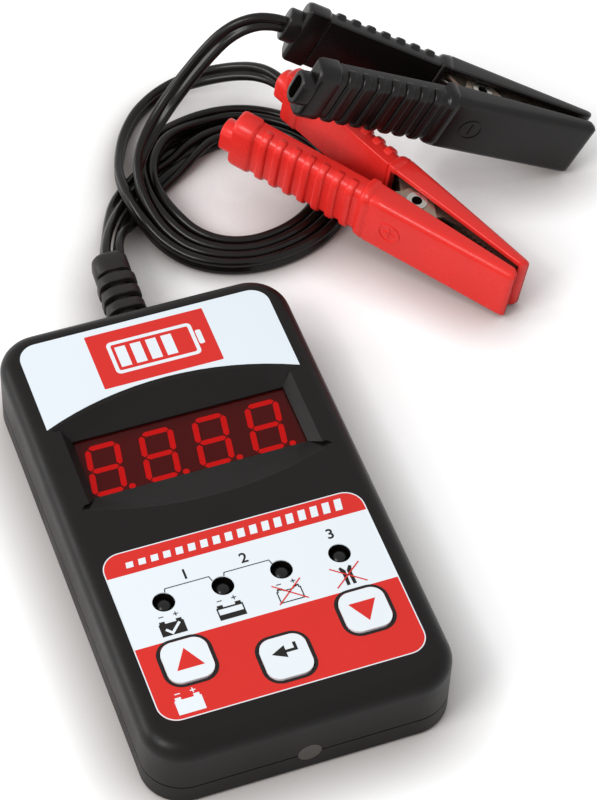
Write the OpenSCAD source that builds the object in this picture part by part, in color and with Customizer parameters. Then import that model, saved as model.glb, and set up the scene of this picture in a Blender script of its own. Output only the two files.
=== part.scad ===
// Hand-held battery tester: display housing, two twin-core leads and two spring clamps.
// Origin at the middle of the housing's underside, +Y towards the leads, +Z up. Millimetres.

/* [Housing] */
// Width of the housing, across the keys
case_w = 70; // [66:1:90]
// Length of the housing, from the end plug to the lead entry
case_l = 120; // [116:1:150]
// Overall height of the housing
case_h = 20; // [19.5:0.5:24]
// Height of the parting line between the two shells
split_z = 6.2; // [5.5:0.1:7]
// Radius of the housing's corners in plan
corner_r = 9.5; // [8:0.5:11]
// Rounding of the top rim
rim_r = 4; // [2:0.5:5]
// Rounding of the underside's rim
foot_r = 1; // [0.5:0.1:1.8]
// Thickness of the side walls
wall_t = 2.2; // [1.8:0.1:2.6]
// Thickness of the bottom wall
floor_t = 2; // [1.6:0.1:2.4]
// Thickness of the top wall
roof_t = 2.4; // [2:0.1:2.6]
// Height of the tongue that locates the upper shell in the lower one
lip_h = 1.2; // [0.8:0.1:1.6]
// Thickness of that tongue
lip_t = 1; // [0.8:0.1:1.2]
// Height of the reveal along the parting line
seam_h = 0.35; // [0.2:0.05:0.6]
// Depth of that reveal
seam_d = 0.35; // [0.2:0.05:0.5]

/* [Display] */
// Visible width of the red filter window
window_w = 50.4; // [46:0.2:54]
// Visible height of the red filter window
window_l = 16.6; // [15:0.2:18]
// Distance of the window's middle from the housing's middle
window_y = 19.4; // [18:0.2:21]
// Thickness of the filter
window_t = 1.6; // [1:0.1:2]
// How far the filter lies below the top face
window_drop = 3; // [2.5:0.1:3.2]
// How far the filter reaches under its frame on each side
window_lap = 1.6; // [1:0.1:2]
// Width of the dished frame around the window, at the top face
bezel_w = 59; // [57:0.5:60]
// Width of the steep bevels at the window's two sides
bezel_side = 2.2; // [1.6:0.1:2.8]
// Height of the display block above the circuit board
display_h = 8; // [7.5:0.1:8.2]
// Width of the display block
display_w = 50.3; // [48:0.1:52]
// Length of the display block along the housing
display_l = 19; // [17:0.1:19.4]
// Spacing of the digits
digit_pitch = 12.7; // [12:0.1:13]
// Height of a digit
digit_h = 14.2; // [12:0.1:15]
// Width of a digit
digit_w = 8.1; // [7:0.1:9]
// Width of a segment
segment_w = 1.3; // [1:0.1:1.6]
// Slant of the digits in degrees
digit_slant = 9; // [0:1:12]

/* [Front panel] */
// Depth of the shallow seats that hold the two printed films
film_t = 0.3; // [0.2:0.05:0.4]
// Width of both printed films
film_w = 60.4; // [58:0.2:61]
// Length of the keypad film
overlay_l = 45; // [44:0.5:48]
// Distance of the keypad film's lower edge from the housing's end
overlay_inset = 8.1; // [7:0.1:8.6]
// Distance of the label's upper edge from the housing's end
label_inset = 4.6; // [4.5:0.1:6]
// Corner radius of both films
film_r = 4.5; // [3:0.1:6]
// Width of a key
key_w = 10.4; // [9:0.1:11]
// Corner radius of a key
key_r = 3; // [1:0.1:3.5]
// Gap all round a key
key_gap = 0.3; // [0.2:0.05:0.4]
// Height of a key above the film
key_rise = 0.4; // [0.2:0.1:0.8]
// Travel of a key
key_travel = 0.5; // [0.3:0.1:0.6]
// Sideways distance of the outer keys from the middle
key_x = 20.15; // [19:0.05:22]
// Distance of the outer keys from the keypad film's lower edge
key_up_by = 13.7; // [12.9:0.1:14.9]
// Distance of the middle key from the keypad film's lower edge
enter_up_by = 7.8; // [6.9:0.1:8.9]
// Diameter of an indicator lamp
led_d = 4.9; // [4.5:0.1:5]
// Gap around a lamp in its hole
led_gap = 0.05; // [0.05:0.05:0.2]
// Spacing of the lamps
led_pitch = 13.45; // [12:0.05:14]
// Distance of the lamps from the keypad film's lower edge
led_up_by = 29.6; // [27.9:0.1:30.9]
// How far a lamp's top lies below the top face
led_drop = 0.5; // [0.3:0.1:1.5]

/* [Inside] */
// Gap between the circuit board and the side walls
pcb_side_gap = 2.8; // [1.8:0.1:4.8]
// Gap between the circuit board and the end walls
pcb_end_gap = 7.8; // [5.8:0.1:8.8]
// Thickness of the circuit board
pcb_t = 1.6; // [1.2:0.1:1.8]
// Height of a key switch's body
switch_h = 3.5; // [3:0.1:4]
// Width of a key switch's body
switch_w = 6; // [5:0.1:7]
// Diameter of a key switch's plunger
plunger_d = 3.5; // [3:0.1:3.8]
// Clearance around the plunger in its bore
plunger_gap = 0.08; // [0.05:0.01:0.1]
// Distance of the case screws from the housing's outer faces
screw_inset = 7.5; // [7:0.1:8]
// Diameter of a case screw's shank
screw_d = 2.4; // [2:0.1:2.6]
// Diameter of a case screw's head
screw_head_d = 4.8; // [4:0.1:5]
// Diameter of a board screw's shank
board_screw_d = 1.9; // [1.6:0.1:2]
// Diameter of a board screw's head
board_head_d = 3.8; // [3.2:0.1:4]
// Distance of the board screws from the board's sides
board_screw_inset = 3; // [2.7:0.1:4]
// Clearance between a screw and its hole
screw_gap = 0.1; // [0.05:0.05:0.3]

/* [Lead entry] */
// Length of the strain relief outside the wall
boot_l = 25; // [20:1:30]
// Width of the strain relief at the wall
boot_w = 9.6; // [9:0.1:10]
// Width of the strain relief at its far end
boot_end_w = 8.9; // [8:0.1:9.6]
// Sideways lean of the strain relief towards the leads' coil, in degrees
boot_lean = 3; // [0:0.5:6]
// Height of the strain relief's axis
boot_z = 7.6; // [7:0.1:8]
// Number of grooves in the strain relief
boot_slots = 4; // [3:1:5]
// Diameter of the plug in the front wall
plug_d = 5.4; // [4.5:0.1:6]
// Clearance around the plug and the strain relief's neck in the walls
wall_gap = 0.1; // [0.05:0.05:0.2]
// Width of a twin lead
lead_w = 4.8; // [4.6:0.1:5]
// Thickness of a twin lead
lead_t = 2.3; // [2.1:0.1:2.35]

/* [Clamps] */
// Length of a clamp's lever from tip to grip end, without the boss
lever_l = 79; // [76:1:84]
// Width of a clamp along its rivet
lever_w = 16.5; // [15.5:0.1:18]
// Distance between the two outer faces at the tip
tip_w = 7.6; // [7:0.1:9]
// Angle between the two outer faces
lever_angle = 14.9; // [13:0.1:16]
// Distance of the rivet from the tip
rivet_s = 31; // [29:0.5:33]
// Length of the jaw cover, up to the grip
jaw_l = 41.3; // [40:0.1:43]
// Depth of the jaw cover's side flanges at the tip
jaw_tip_d = 3; // [2.6:0.1:3.4]
// Depth of the jaw cover's side flanges at the grip
jaw_root_d = 6.4; // [6:0.1:6.8]
// Thickness of a grip
grip_d = 6; // [5.6:0.1:6.4]
// Wall of the insulating cover
cover_t = 1.4; // [1.2:0.1:1.5]
// Number of grooves in a grip
grip_slots = 8; // [5:1:8]
// Spacing of the grooves
slot_pitch = 4.05; // [3.8:0.05:4.2]
// Depth of the grooves
slot_d = 0.9; // [0.5:0.1:1.1]
// Width of the grooves
slot_w = 1.8; // [0.8:0.1:2.2]
// Rounding of a grip's outer edges
grip_r = 3; // [2:0.1:3.4]
// Rounding of the jaw cover's outer edges
jaw_r = 1.8; // [1:0.1:2.4]
// Length of the boss at a grip's end
boss_l = 3; // [2:0.5:4]
// Thickness of the steel levers
steel_t = 0.8; // [0.6:0.1:0.9]
// Side gap between the nested levers, and between lever and cover
nest_gap = 0.2; // [0.15:0.05:0.3]
// Outer diameter of the hollow rivet
rivet_d = 4; // [3.6:0.1:4.4]
// Bore of the hollow rivet
rivet_bore = 2.6; // [2:0.1:2.8]
// Running clearance between rivet and levers
rivet_gap = 0.06; // [0.04:0.01:0.1]
// Radius of the levers' ears around the rivet
ear_r = 4.4; // [4:0.1:4.8]
// Spacing of the teeth
tooth_pitch = 1.6; // [1.2:0.1:2]
// Wire thickness of the clamp spring
spring_wire = 1; // [0.8:0.1:1.1]

/* [Hidden] */
$fn = 48;
eps = 0.01;

// Housing
inner_w = case_w - 2 * wall_t;
inner_l = case_l - 2 * wall_t;
roof_z = case_h - roof_t;
boss_r = 3.2;
pilot_depth = 7;
counterbore_h = 3;
window_top = case_h - window_drop;
window_low = window_top - window_t;
window_fit = 0.1;
frame_rim = 3;
bezel_low_y = window_y - window_l / 2 - 9.7;
bezel_high_y = window_y + window_l / 2 + 7.7;
bezel_sag = 5.4;
label_low_y = bezel_high_y + 1.4;
label_high_y = case_l / 2 - label_inset;
label_sag = bezel_sag + 1;
film_low_y = -case_l / 2 + overlay_inset;
overlay_y = film_low_y + overlay_l / 2;
led_y = film_low_y + led_up_by;
screw_x = case_w / 2 - screw_inset;
screw_y = case_l / 2 - screw_inset;
window_lip_h = 0.6;

// Board and what stands on it
pcb_top = window_low - 0.1 - display_h;
pcb_low = pcb_top - pcb_t;
led_xs = [for (i = [0 : 3]) (i - 1.5) * led_pitch];
led_flange_h = 1;
led_body_h = 5.2;
led_top = case_h - led_drop;
key_spots = [
    [-key_x, film_low_y + key_up_by], [0, film_low_y + enter_up_by], [key_x, film_low_y + key_up_by],
];
key_top = case_h + key_rise;
key_lip = 0.8;
key_lip_h = 0.8;
key_lip_top = roof_z - 0.2;
plunger_rise = 1.4;
plunger_top = pcb_top + switch_h + plunger_rise;
plunger_seat = 1.2;
pcb_w = inner_w - 2 * pcb_side_gap;
pcb_l = inner_l - 2 * pcb_end_gap;
board_screw_x = pcb_w / 2 - board_screw_inset;
board_screw_ys = [led_y - 3.7, pcb_l / 2 - 10];
board_screw_bite = 3;
board_head_h = 1.3;
terminal_y = pcb_l / 2 - 6;
resistor_ys = [terminal_y - 8.5, terminal_y - 1];
resistor_x = 15 - pcb_w / 2;
transistor_w = 10;
transistor_x = board_screw_x - board_head_d / 2 - 0.1 - transistor_w / 2;
capacitor_xs = [pcb_w / 2 - 11, pcb_w / 2 - 4];
regulator_x = 6 - pcb_w / 2;
logic_y = -6;
post_r = 2.4;
digit_xs = [for (i = [0 : 3]) (i - 1.5) * digit_pitch];

// Lead entry
boot_y0 = case_l / 2;
neck_r = boot_w / 2 - 1;
flange_r = neck_r + 1.6;
flange_h = 2;
plug_z = split_z;
slot_run = boot_l - 6;
inner_wire_d = 1.1;

// Clamps
half_angle = lever_angle / 2;
rivet_n = tip_w / 2 + rivet_s * tan(half_angle);
ear_flat = ear_r * 1.5;
cavity_w = lever_w - 2 * cover_t;
rivet_head = 0.35;
outer_steel_w = cavity_w - 2 * nest_gap - 2 * rivet_head;
grip_cavity_w = outer_steel_w + 2 * nest_gap;
inner_steel_w = outer_steel_w - 2 * steel_t - 2 * nest_gap;
handle_l = lever_l - 7;
handle_d = grip_d - 2 * cover_t;

// [tip x, y, z, yaw, pitch, roll] of each clamp as it lies
red_place = [87.4, 43.2, 0.15, 129.3, 6.5, 0];
black_place = [120.8, 82, 0.45, 173.2, 25.5, 0];

// Route of each lead from the strain relief: [x, y, z, roll]
red_route = [
    [0.7, 83.5, 7.6, 82], [1.6, 88.1, 7.1, 80], [4, 94.1, 5.6, 75], [7.3, 100.9, 3.6, 50],
    [11, 106.9, 1.9, 15], [15.5, 111.5, 1.2, 0], [20.6, 115.2, 1.2, 0], [26.8, 118, 1.3, 5],
    [33, 120.3, 2, 42], [39, 121.3, 2.4, 75], [45, 121.1, 2.5, 90], [50.5, 119.6, 2.5, 90],
    [55.6, 116.6, 2.5, 90], [59.7, 112.3, 2.5, 90], [62.4, 107, 2.5, 90], [63.3, 101, 2.5, 90],
    [62.2, 95, 2.5, 90], [59.1, 90, 2.5, 90], [54.5, 85.9, 2.5, 90], [49.2, 83.1, 2.5, 90],
    [43.3, 81.5, 2.5, 90], [37.6, 81.2, 2.5, 90], [32.1, 82.4, 2.5, 90], [27.3, 85.1, 2.5, 90],
    [23.2, 89, 3, 90], [20.2, 94, 4.2, 90], [18.4, 99.8, 5.2, 90], [18.1, 105.8, 5.2, 90],
    [19, 112, 5.2, 90], [21.6, 118, 5.2, 90], [26, 122.9, 4, 90], [32, 126.2, 2.7, 90],
    [38.8, 127.6, 2.5, 90], [45.5, 127.4, 2.5, 90], [51.8, 125.6, 2.5, 90], [57.6, 122.2, 2.5, 90],
    [62.6, 117.5, 2.5, 90], [66.2, 111.6, 2.5, 90], [68, 105, 2.5, 90], [67.9, 98.2, 2.5, 90],
    [65.8, 91.5, 2.5, 90], [61.9, 85.6, 2.5, 90], [56.4, 81, 2.5, 90], [50, 78.2, 2.5, 90],
    [43.6, 76.8, 2.5, 90], [37.3, 76.6, 2.5, 90], [31, 77.8, 2.5, 90], [25.2, 80.5, 2.5, 90],
    [20.4, 84.5, 2.7, 90], [16.6, 89.6, 3.7, 90], [14, 95.6, 5.3, 90], [13, 102, 5.7, 90],
    [12.8, 108.3, 5.4, 90], [13.6, 114.6, 4.2, 90], [15.8, 121, 3, 90], [19, 127.4, 2.5, 90],
    [23.6, 133.2, 2.5, 90], [28.8, 137.2, 2.6, 90], [33.6, 139, 3.2, 95], [38.4, 139, 4.6, 105],
    [43, 137.4, 6.8, 120], [47.2, 134.6, 9.6, 130], [50.8, 131, 12.6, 130], [53.8, 127, 15.2, 120],
    [56.2, 122.8, 16.8, 105], [58.5, 118.1, 17.1, 90],
];
black_route = [
    [3.9, 83.5, 7.6, 82], [4.9, 88.1, 7.1, 80], [7, 93, 5.4, 70], [10.2, 97.9, 3.1, 28],
    [14.1, 102.8, 1.3, 0], [19, 107.4, 1.2, 0], [24.6, 111, 1.3, 5], [29.8, 113.9, 1.7, 30],
    [34.8, 116.6, 2.2, 62], [39.8, 118.5, 2.5, 85], [44.8, 118.6, 2.5, 90], [49.7, 117.2, 2.5, 90],
    [54, 114.5, 2.5, 90], [57.6, 110.7, 2.5, 90], [60, 106.2, 2.5, 90], [60.8, 101, 2.5, 90],
    [59.8, 95.9, 2.5, 90], [57.3, 91.5, 2.5, 90], [53.3, 87.9, 2.5, 90], [48.5, 85.4, 2.5, 90],
    [43.3, 84, 2.5, 90], [38, 83.7, 2.5, 90], [33.1, 84.8, 2.5, 90], [28.8, 87.3, 2.6, 90],
    [25.2, 90.9, 3.2, 90], [22.6, 95.4, 4.4, 90], [20.9, 100.6, 5.2, 90], [20.5, 106.2, 5.2, 90],
    [21.4, 111.4, 5.2, 90], [23.9, 116.4, 5.2, 90], [28, 120.8, 4.8, 90], [33.2, 123.7, 3.4, 90],
    [39.2, 125.1, 2.5, 90], [45.3, 124.9, 2.5, 90], [51, 123.2, 2.5, 90], [56.2, 120.1, 2.5, 90],
    [60.7, 115.9, 2.5, 90], [63.9, 110.6, 2.5, 90], [65.6, 104.6, 2.5, 90], [65.5, 98.3, 2.5, 90],
    [63.5, 92.3, 2.5, 90], [60, 87.2, 2.5, 90], [55.1, 83.3, 2.5, 90], [49.5, 80.6, 2.5, 90],
    [43.5, 79.2, 2.5, 90], [37.5, 78.9, 2.5, 90], [31.7, 80.1, 2.5, 90], [26.4, 82.7, 2.5, 90],
    [21.9, 86.5, 2.8, 90], [18.5, 91.4, 4, 90], [16.5, 97.1, 5.7, 90], [15.7, 102.6, 8, 90],
    [16.4, 107.6, 10.4, 95], [18.9, 111.9, 13, 110], [22.6, 115.4, 16.1, 125], [26.8, 117.8, 20, 135],
    [30.8, 119, 24.4, 140], [34.7, 119.5, 29.1, 140], [38.4, 119.6, 33.6, 135], [42.1, 119.4, 37.6, 125],
    [46, 118.8, 40.5, 115], [50.2, 117.8, 42, 105], [54, 116.5, 42, 95], [57.8, 115, 40.9, 90],
];

module slab(w, l, z0, z1) {
    translate([-w / 2, -l / 2, z0]) cube([w, l, z1 - z0]);
}

// A flat plate with rounded corners, from z0 to z1
module plate(w, l, r, z0, z1) {
    translate([0, 0, z0]) linear_extrude(z1 - z0) rounded(w, l, r);
}

module rounded(w, l, r) {
    square([w - 2 * r, l], center = true);
    square([w, l - 2 * r], center = true);
    for (x = [-1, 1], y = [-1, 1]) translate([x * (w / 2 - r), y * (l / 2 - r)]) circle(r);
}

// A block whose outline has corners of radius r and whose wall follows a profile, given as
// [distance outwards from the corner's centre, height]
module profiled(w, l, r, z0, z1) {
    for (x = [0, 1], y = [0, 1]) mirror([x, 0, 0]) mirror([0, y, 0]) {
        translate([w / 2 - r, l / 2 - r, 0]) rotate_extrude(angle = 90) children();
        translate([w / 2 - r, l / 2 - r, 0]) rotate([90, 0, 0]) linear_extrude(l / 2 - r) children();
        translate([0, l / 2 - r, 0]) rotate([90, 0, 90]) linear_extrude(w / 2 - r) children();
    }
    slab(w - 2 * r, l - 2 * r, z0, z1);
}

// Wall profile from z0 to z1 with its upper outer edge rounded by e
module rim_profile(r, e, z0, z1) {
    translate([0, z0]) square([r - e, z1 - z0]);
    translate([0, z0]) square([r, z1 - e - z0]);
    intersection() {
        translate([r - e, z1 - e]) circle(e);
        translate([r - e, z1 - e]) square(e);
    }
}

module rim_block(w, l, r, e, z0, z1) {
    profiled(w, l, r, z0, z1) rim_profile(r, e, z0, z1);
}

// Points of an arc in plan from x = -w/2 to w/2, highest by sag in the middle
function arc_points(w, y, sag, n) =
    let (r = (w * w / 4 + sag * sag) / (2 * sag), a = asin(w / 2 / r))
    [for (i = [0 : n]) let (t = -a + 2 * a * i / n) [r * sin(t), y - r + r * cos(t)]];

// Housing shells

module wall_holes() {
    translate([0, case_l / 2 + eps, boot_z]) rotate([90, 0, 0])
        cylinder(r = neck_r + wall_gap, h = wall_t + 2 * eps);
    translate([0, -case_l / 2 - eps, plug_z]) rotate([-90, 0, 0])
        cylinder(d = plug_d + 2 * wall_gap, h = wall_t + 2 * eps);
}

module at_case_screws() {
    for (x = [-1, 1], y = [-1, 1]) translate([x * screw_x, y * screw_y, 0]) children();
}

module at_board_screws() {
    for (x = [-1, 1], y = board_screw_ys) translate([x * board_screw_x, y, 0]) children();
}

// Outline of the dished frame at the top face between its side bevels, its long edges arched
module bezel_outline() {
    intersection() {
        polygon(concat(
            [for (p = arc_points(bezel_w, bezel_high_y, bezel_sag, 16)) p],
            [for (p = arc_points(bezel_w, -bezel_low_y, bezel_sag, 16)) [-p.x, -p.y]]
        ));
        square([window_w + 2 * bezel_side, case_l], center = true);
    }
}

module window_opening(grow, z0, z1) {
    translate([0, window_y, 0]) slab(window_w + 2 * grow, window_l + 2 * grow, z0, z1);
}

// The dish has steep sides, and a long arched slope above and below the window whose ends reach
// past them
module bezel_dish() {
    hull() {
        window_opening(0, window_top, window_top + eps);
        translate([0, 0, case_h]) linear_extrude(1) bezel_outline();
    }
    for (low = [0, 1]) translate([0, window_y, 0]) mirror([0, low, 0]) hull() {
        translate([0, window_l / 2 - eps, 0]) slab(window_w, 2 * eps, window_top, window_top + eps);
        translate([0, 0, case_h]) linear_extrude(1) polygon(arc_points(
            bezel_w, low ? window_y - bezel_low_y : bezel_high_y - window_y, bezel_sag, 16));
    }
}

module film_seat(low_y, high_y) {
    translate([0, (low_y + high_y) / 2, 0])
        plate(film_w + 0.1, high_y - low_y + 0.1, film_r, case_h - film_t, case_h + 1);
}

module label_outline(grow) {
    arch = arc_points(film_w, label_low_y, label_sag, 16);
    side = film_w / 2;
    offset(delta = grow) intersection() {
        polygon(concat([[-side, label_high_y + film_r], each arch, [side, label_high_y + film_r]]));
        translate([0, label_high_y - case_l / 4]) rounded(film_w, case_l / 2, film_r);
    }
}

module upper_case() {
    color("#26221f") difference() {
        union() {
            difference() {
                union() {
                    rim_block(case_w, case_l, corner_r, rim_r, split_z, case_h);
                    difference() {
                        plate(inner_w + 2 * lip_t, inner_l + 2 * lip_t, corner_r - wall_t + lip_t,
                            split_z - lip_h, split_z + eps);
                        plate(inner_w, inner_l, corner_r - wall_t, 0, case_h);
                    }
                }
                rim_block(inner_w, inner_l, corner_r - wall_t, rim_r - 1.5, split_z - eps, roof_z);
            }
            at_case_screws() translate([0, 0, split_z + 0.1]) cylinder(r = boss_r, h = roof_z - split_z);
            translate([0, window_y, 0]) slab(
                window_w + 2 * (window_lap + frame_rim), window_l + 2 * (window_lap + frame_rim),
                window_low + 0.1, roof_z + eps);
            translate([0, (bezel_low_y + bezel_high_y) / 2, 0]) slab(
                window_w + 2 * (window_lap + frame_rim), bezel_high_y - bezel_low_y,
                roof_z - 0.9, roof_z + eps);
        }
        bezel_dish();
        window_opening(0, window_low - 1, window_top + 2 * eps);
        window_opening(window_lap + window_fit, window_low - 1, window_top - window_lip_h);
        film_seat(overlay_y - overlay_l / 2, overlay_y + overlay_l / 2);
        translate([0, 0, case_h - film_t]) linear_extrude(1) label_outline(0.05);
        for (p = key_spots) translate([p.x, p.y, 0])
            plate(key_w + 2 * key_gap, key_w + 2 * key_gap, key_r + key_gap, roof_z - 1, case_h + 1);
        for (x = led_xs) translate([x, led_y, roof_z - 1]) cylinder(d = led_d + 2 * led_gap, h = 2 * roof_t);
        at_case_screws() translate([0, 0, split_z]) cylinder(d = screw_d + screw_gap, h = pilot_depth);
        wall_holes();
        translate([0, case_l / 2, 0]) slab(2 * (flange_r + 0.3), 2 * (wall_t + flange_h + 0.3), 0, split_z);
        translate([0, -case_l / 2, 0]) slab(plug_d + 3, 2 * (wall_t + 2.4), 0, split_z);
    }
}

// Reveal along the parting line, cut into the lower shell's rim
module seam_cut() {
    difference() {
        slab(case_w + 1, case_l + 1, split_z - seam_h, case_h);
        plate(case_w - 2 * seam_d, case_l - 2 * seam_d, corner_r - seam_d, 0, case_h + 1);
    }
}

module lower_case() {
    color("#26221f") difference() {
        union() {
            difference() {
                translate([0, 0, split_z]) mirror([0, 0, 1])
                    rim_block(case_w, case_l, corner_r, foot_r, 0, split_z);
                plate(inner_w, inner_l, corner_r - wall_t, floor_t, case_h);
                plate(inner_w + 2 * lip_t + 0.2, inner_l + 2 * lip_t + 0.2, corner_r - wall_t + lip_t + 0.1,
                    split_z - lip_h - 0.1, case_h);
            }
            at_case_screws() cylinder(r = boss_r, h = split_z - 0.1);
            at_board_screws() translate([0, 0, floor_t - eps])
                cylinder(r = post_r, h = pcb_low - floor_t + eps);
        }
        at_case_screws() translate([0, 0, -eps]) cylinder(d = screw_head_d + 0.4, h = counterbore_h);
        at_case_screws() cylinder(d = screw_d + 4 * screw_gap, h = case_h);
        at_board_screws() translate([0, 0, floor_t]) cylinder(d = board_screw_d + screw_gap, h = case_h);
        wall_holes();
        seam_cut();
    }
}

// A screw that points up, with its head's underside at z = 0
module screw(shank_d, shank_l, head_d, head_h) {
    cylinder(d = shank_d, h = shank_l);
    difference() {
        translate([0, 0, -head_h]) cylinder(d = head_d, h = head_h);
        for (a = [0, 90]) rotate([0, 0, a]) slab(head_d * 0.6, 0.5, -head_h - eps, -head_h * 0.5);
    }
}

module case_screws() {
    color("#8a8a8c") at_case_screws() translate([0, 0, counterbore_h - eps])
        screw(screw_d, split_z + pilot_depth - counterbore_h - 1, screw_head_d, 1.8);
}

module display_window() {
    color("#8e1420") translate([0, window_y, 0])
        slab(window_w + 2 * window_lap, window_l + 2 * window_lap, window_low, window_top - window_lip_h);
}

module face_label() {
    color("#f1f5f7") translate([0, 0, case_h - film_t]) linear_extrude(film_t) label_outline(0);
}

module keypad_film() {
    color("#d8222a") difference() {
        translate([0, overlay_y, 0]) plate(film_w, overlay_l, film_r, case_h - film_t, case_h);
        for (p = key_spots) translate([p.x, p.y, 0])
            plate(key_w + 2 * key_gap, key_w + 2 * key_gap, key_r + key_gap, 0, case_h + 1);
        for (x = led_xs) translate([x, led_y, 0]) cylinder(d = led_d + 2 * led_gap, h = case_h + 1);
    }
}

// Board, display and controls

module display_block() {
    color("#1c1a1a") difference() {
        translate([0, window_y, 0]) slab(display_w, display_l, pcb_top, pcb_top + display_h);
        segments(0.3, 0.05);
    }
}

// One straight segment between two points of a digit, pointed at both ends
module segment(a, b, grow) {
    w = segment_w / 2 + grow;
    d = (b - a) / norm(b - a);
    s = [-d.y, d.x];
    m = [a + d * 0.25, b - d * 0.25];
    polygon([m[0], m[0] + (d + s) * w, m[1] - (d - s) * w, m[1], m[1] - (d + s) * w, m[0] + (d - s) * w]);
}

function slanted(x, y) = [x + y * tan(digit_slant), y];

module digit_outline(grow) {
    x = (digit_w - segment_w) / 2;
    y = (digit_h - segment_w) / 2;
    for (v = [-1, 0, 1]) segment(slanted(-x, v * y), slanted(x, v * y), grow);
    for (u = [-1, 1], v = [-1, 0]) segment(slanted(u * x, v * y), slanted(u * x, (v + 1) * y), grow);
    translate(slanted(digit_w / 2 + 1.1, -y)) circle(segment_w / 2 + 0.1 + grow, $fn = 24);
}

module segments(depth, grow) {
    for (x = digit_xs) translate([x - 0.9, window_y, pcb_top + display_h - depth])
        linear_extrude(depth + (grow > 0 ? 1 : 0)) digit_outline(grow);
}

module display_segments() {
    color("#5e1014") segments(0.3, 0);
}

module circuit_board() {
    color("#1f6b3a") difference() {
        slab(pcb_w, pcb_l, pcb_low, pcb_top);
        at_case_screws() cylinder(r = boss_r + 1, h = case_h);
        at_board_screws() cylinder(d = board_screw_d + 3 * screw_gap, h = case_h);
    }
}

module board_screws() {
    color("#b9bbbd") at_board_screws() translate([0, 0, pcb_top]) mirror([0, 0, 1])
        screw(board_screw_d, pcb_t + board_screw_bite, board_head_d, board_head_h);
}

module led() {
    translate([0, 0, led_top - led_d / 2]) intersection() {
        sphere(d = led_d);
        cylinder(d = led_d, h = led_d);
    }
    translate([0, 0, led_top - led_d / 2 - led_body_h]) cylinder(d = led_d, h = led_body_h + eps);
    translate([0, 0, led_top - led_d / 2 - led_body_h - led_flange_h])
        cylinder(d = led_d + 0.8, h = led_flange_h + eps);
    for (x = [-1.27, 1.27]) translate([x, 0, pcb_top])
        cylinder(d = 0.6, h = led_top - led_d / 2 - led_body_h - pcb_top, $fn = 16);
}

module led_1() { color("#141414") translate([led_xs[0], led_y, 0]) led(); }
module led_2() { color("#141414") translate([led_xs[1], led_y, 0]) led(); }
module led_3() { color("#141414") translate([led_xs[2], led_y, 0]) led(); }
module led_4() { color("#141414") translate([led_xs[3], led_y, 0]) led(); }

module key(spot) {
    translate([spot.x, spot.y, 0]) {
        plate(key_w, key_w, key_r, key_lip_top - eps, key_top);
        plate(key_w + 2 * key_lip, key_w + 2 * key_lip, key_r + key_lip,
            key_lip_top - key_lip_h, key_lip_top);
        translate([0, 0, plunger_top]) cylinder(r = 2.2, h = key_lip_top - key_lip_h - plunger_top + eps);
    }
}

module key_up() { color("#f4f4f4") key(key_spots[0]); }
module key_enter() { color("#f4f4f4") key(key_spots[1]); }
module key_down() { color("#f4f4f4") key(key_spots[2]); }

module plunger(spot) {
    low = pcb_top + switch_h - plunger_seat + key_travel + 0.1;
    color("#202020") translate([spot.x, spot.y, low]) cylinder(d = plunger_d, h = plunger_top - low);
}

module plunger_up() { plunger(key_spots[0]); }
module plunger_enter() { plunger(key_spots[1]); }
module plunger_down() { plunger(key_spots[2]); }

module key_switches() {
    color("#3a3a3c") for (p = key_spots) translate([p.x, p.y, 0]) difference() {
        slab(switch_w, switch_w, pcb_top, pcb_top + switch_h);
        translate([0, 0, pcb_top + switch_h - plunger_seat])
            cylinder(d = plunger_d + 2 * plunger_gap, h = switch_h);
    }
}

module microcontroller() {
    color("#161616") translate([-6, logic_y, 0]) {
        slab(18, 7.6, pcb_top + 0.4, pcb_top + 2.8);
        for (i = [0 : 13], y = [-1, 1]) translate([(i - 6.5) * 1.27, y * 4.3, 0])
            slab(0.45, 1.6, pcb_top, pcb_top + 1.2);
    }
}

module crystal() {
    color("#c4c6c8") translate([11, logic_y, 0]) {
        plate(4.6, 11, 2.2, pcb_top, pcb_top + 3.5);
    }
}

module load_resistors() {
    color("#d6d2c4") for (y = resistor_ys) translate([resistor_x, y, pcb_top + 2.5]) rotate([90, 0, 90]) {
        cylinder(d = 5, h = 8, center = true);
        for (u = [-1, 1]) translate([0, 0, u * 5])
            cylinder(d = 0.8, h = 2 + 2 * eps, center = true, $fn = 16);
        for (u = [-1, 1]) translate([0, 0, u * 5.6]) rotate([90, 0, 0])
            cylinder(d = 0.8, h = 2.5, $fn = 16);
    }
}

module load_transistor() {
    color("#191919") translate([transistor_x, terminal_y + 1, 0]) {
        slab(transistor_w, 9, pcb_top, pcb_top + 4.4);
        translate([0, -6, 0]) slab(transistor_w, 4, pcb_top, pcb_top + 1.3);
    }
}

module capacitors() {
    color("#24303c") for (x = capacitor_xs) translate([x, logic_y, pcb_top]) cylinder(d = 6.3, h = 7);
}

module voltage_regulator() {
    color("#1a1a1a") translate([regulator_x, logic_y, 0]) {
        slab(6.5, 6, pcb_top, pcb_top + 2.3);
        translate([0, 4, 0]) slab(5.4, 2.2, pcb_top, pcb_top + 0.6);
    }
}

module lead_terminals() {
    color("#c9b27a") for (x = [-4.5, -1.5, 1.5, 4.5]) translate([x, terminal_y, 0]) {
        slab(1.6, 2.4, pcb_top, pcb_top + 0.8);
        translate([0, 0, pcb_top]) cylinder(d = 1, h = 2.6);
    }
}

// Lead entry and end plug

module boot_section(w, h) {
    rounded(w, h, h * 0.36);
}

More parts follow.
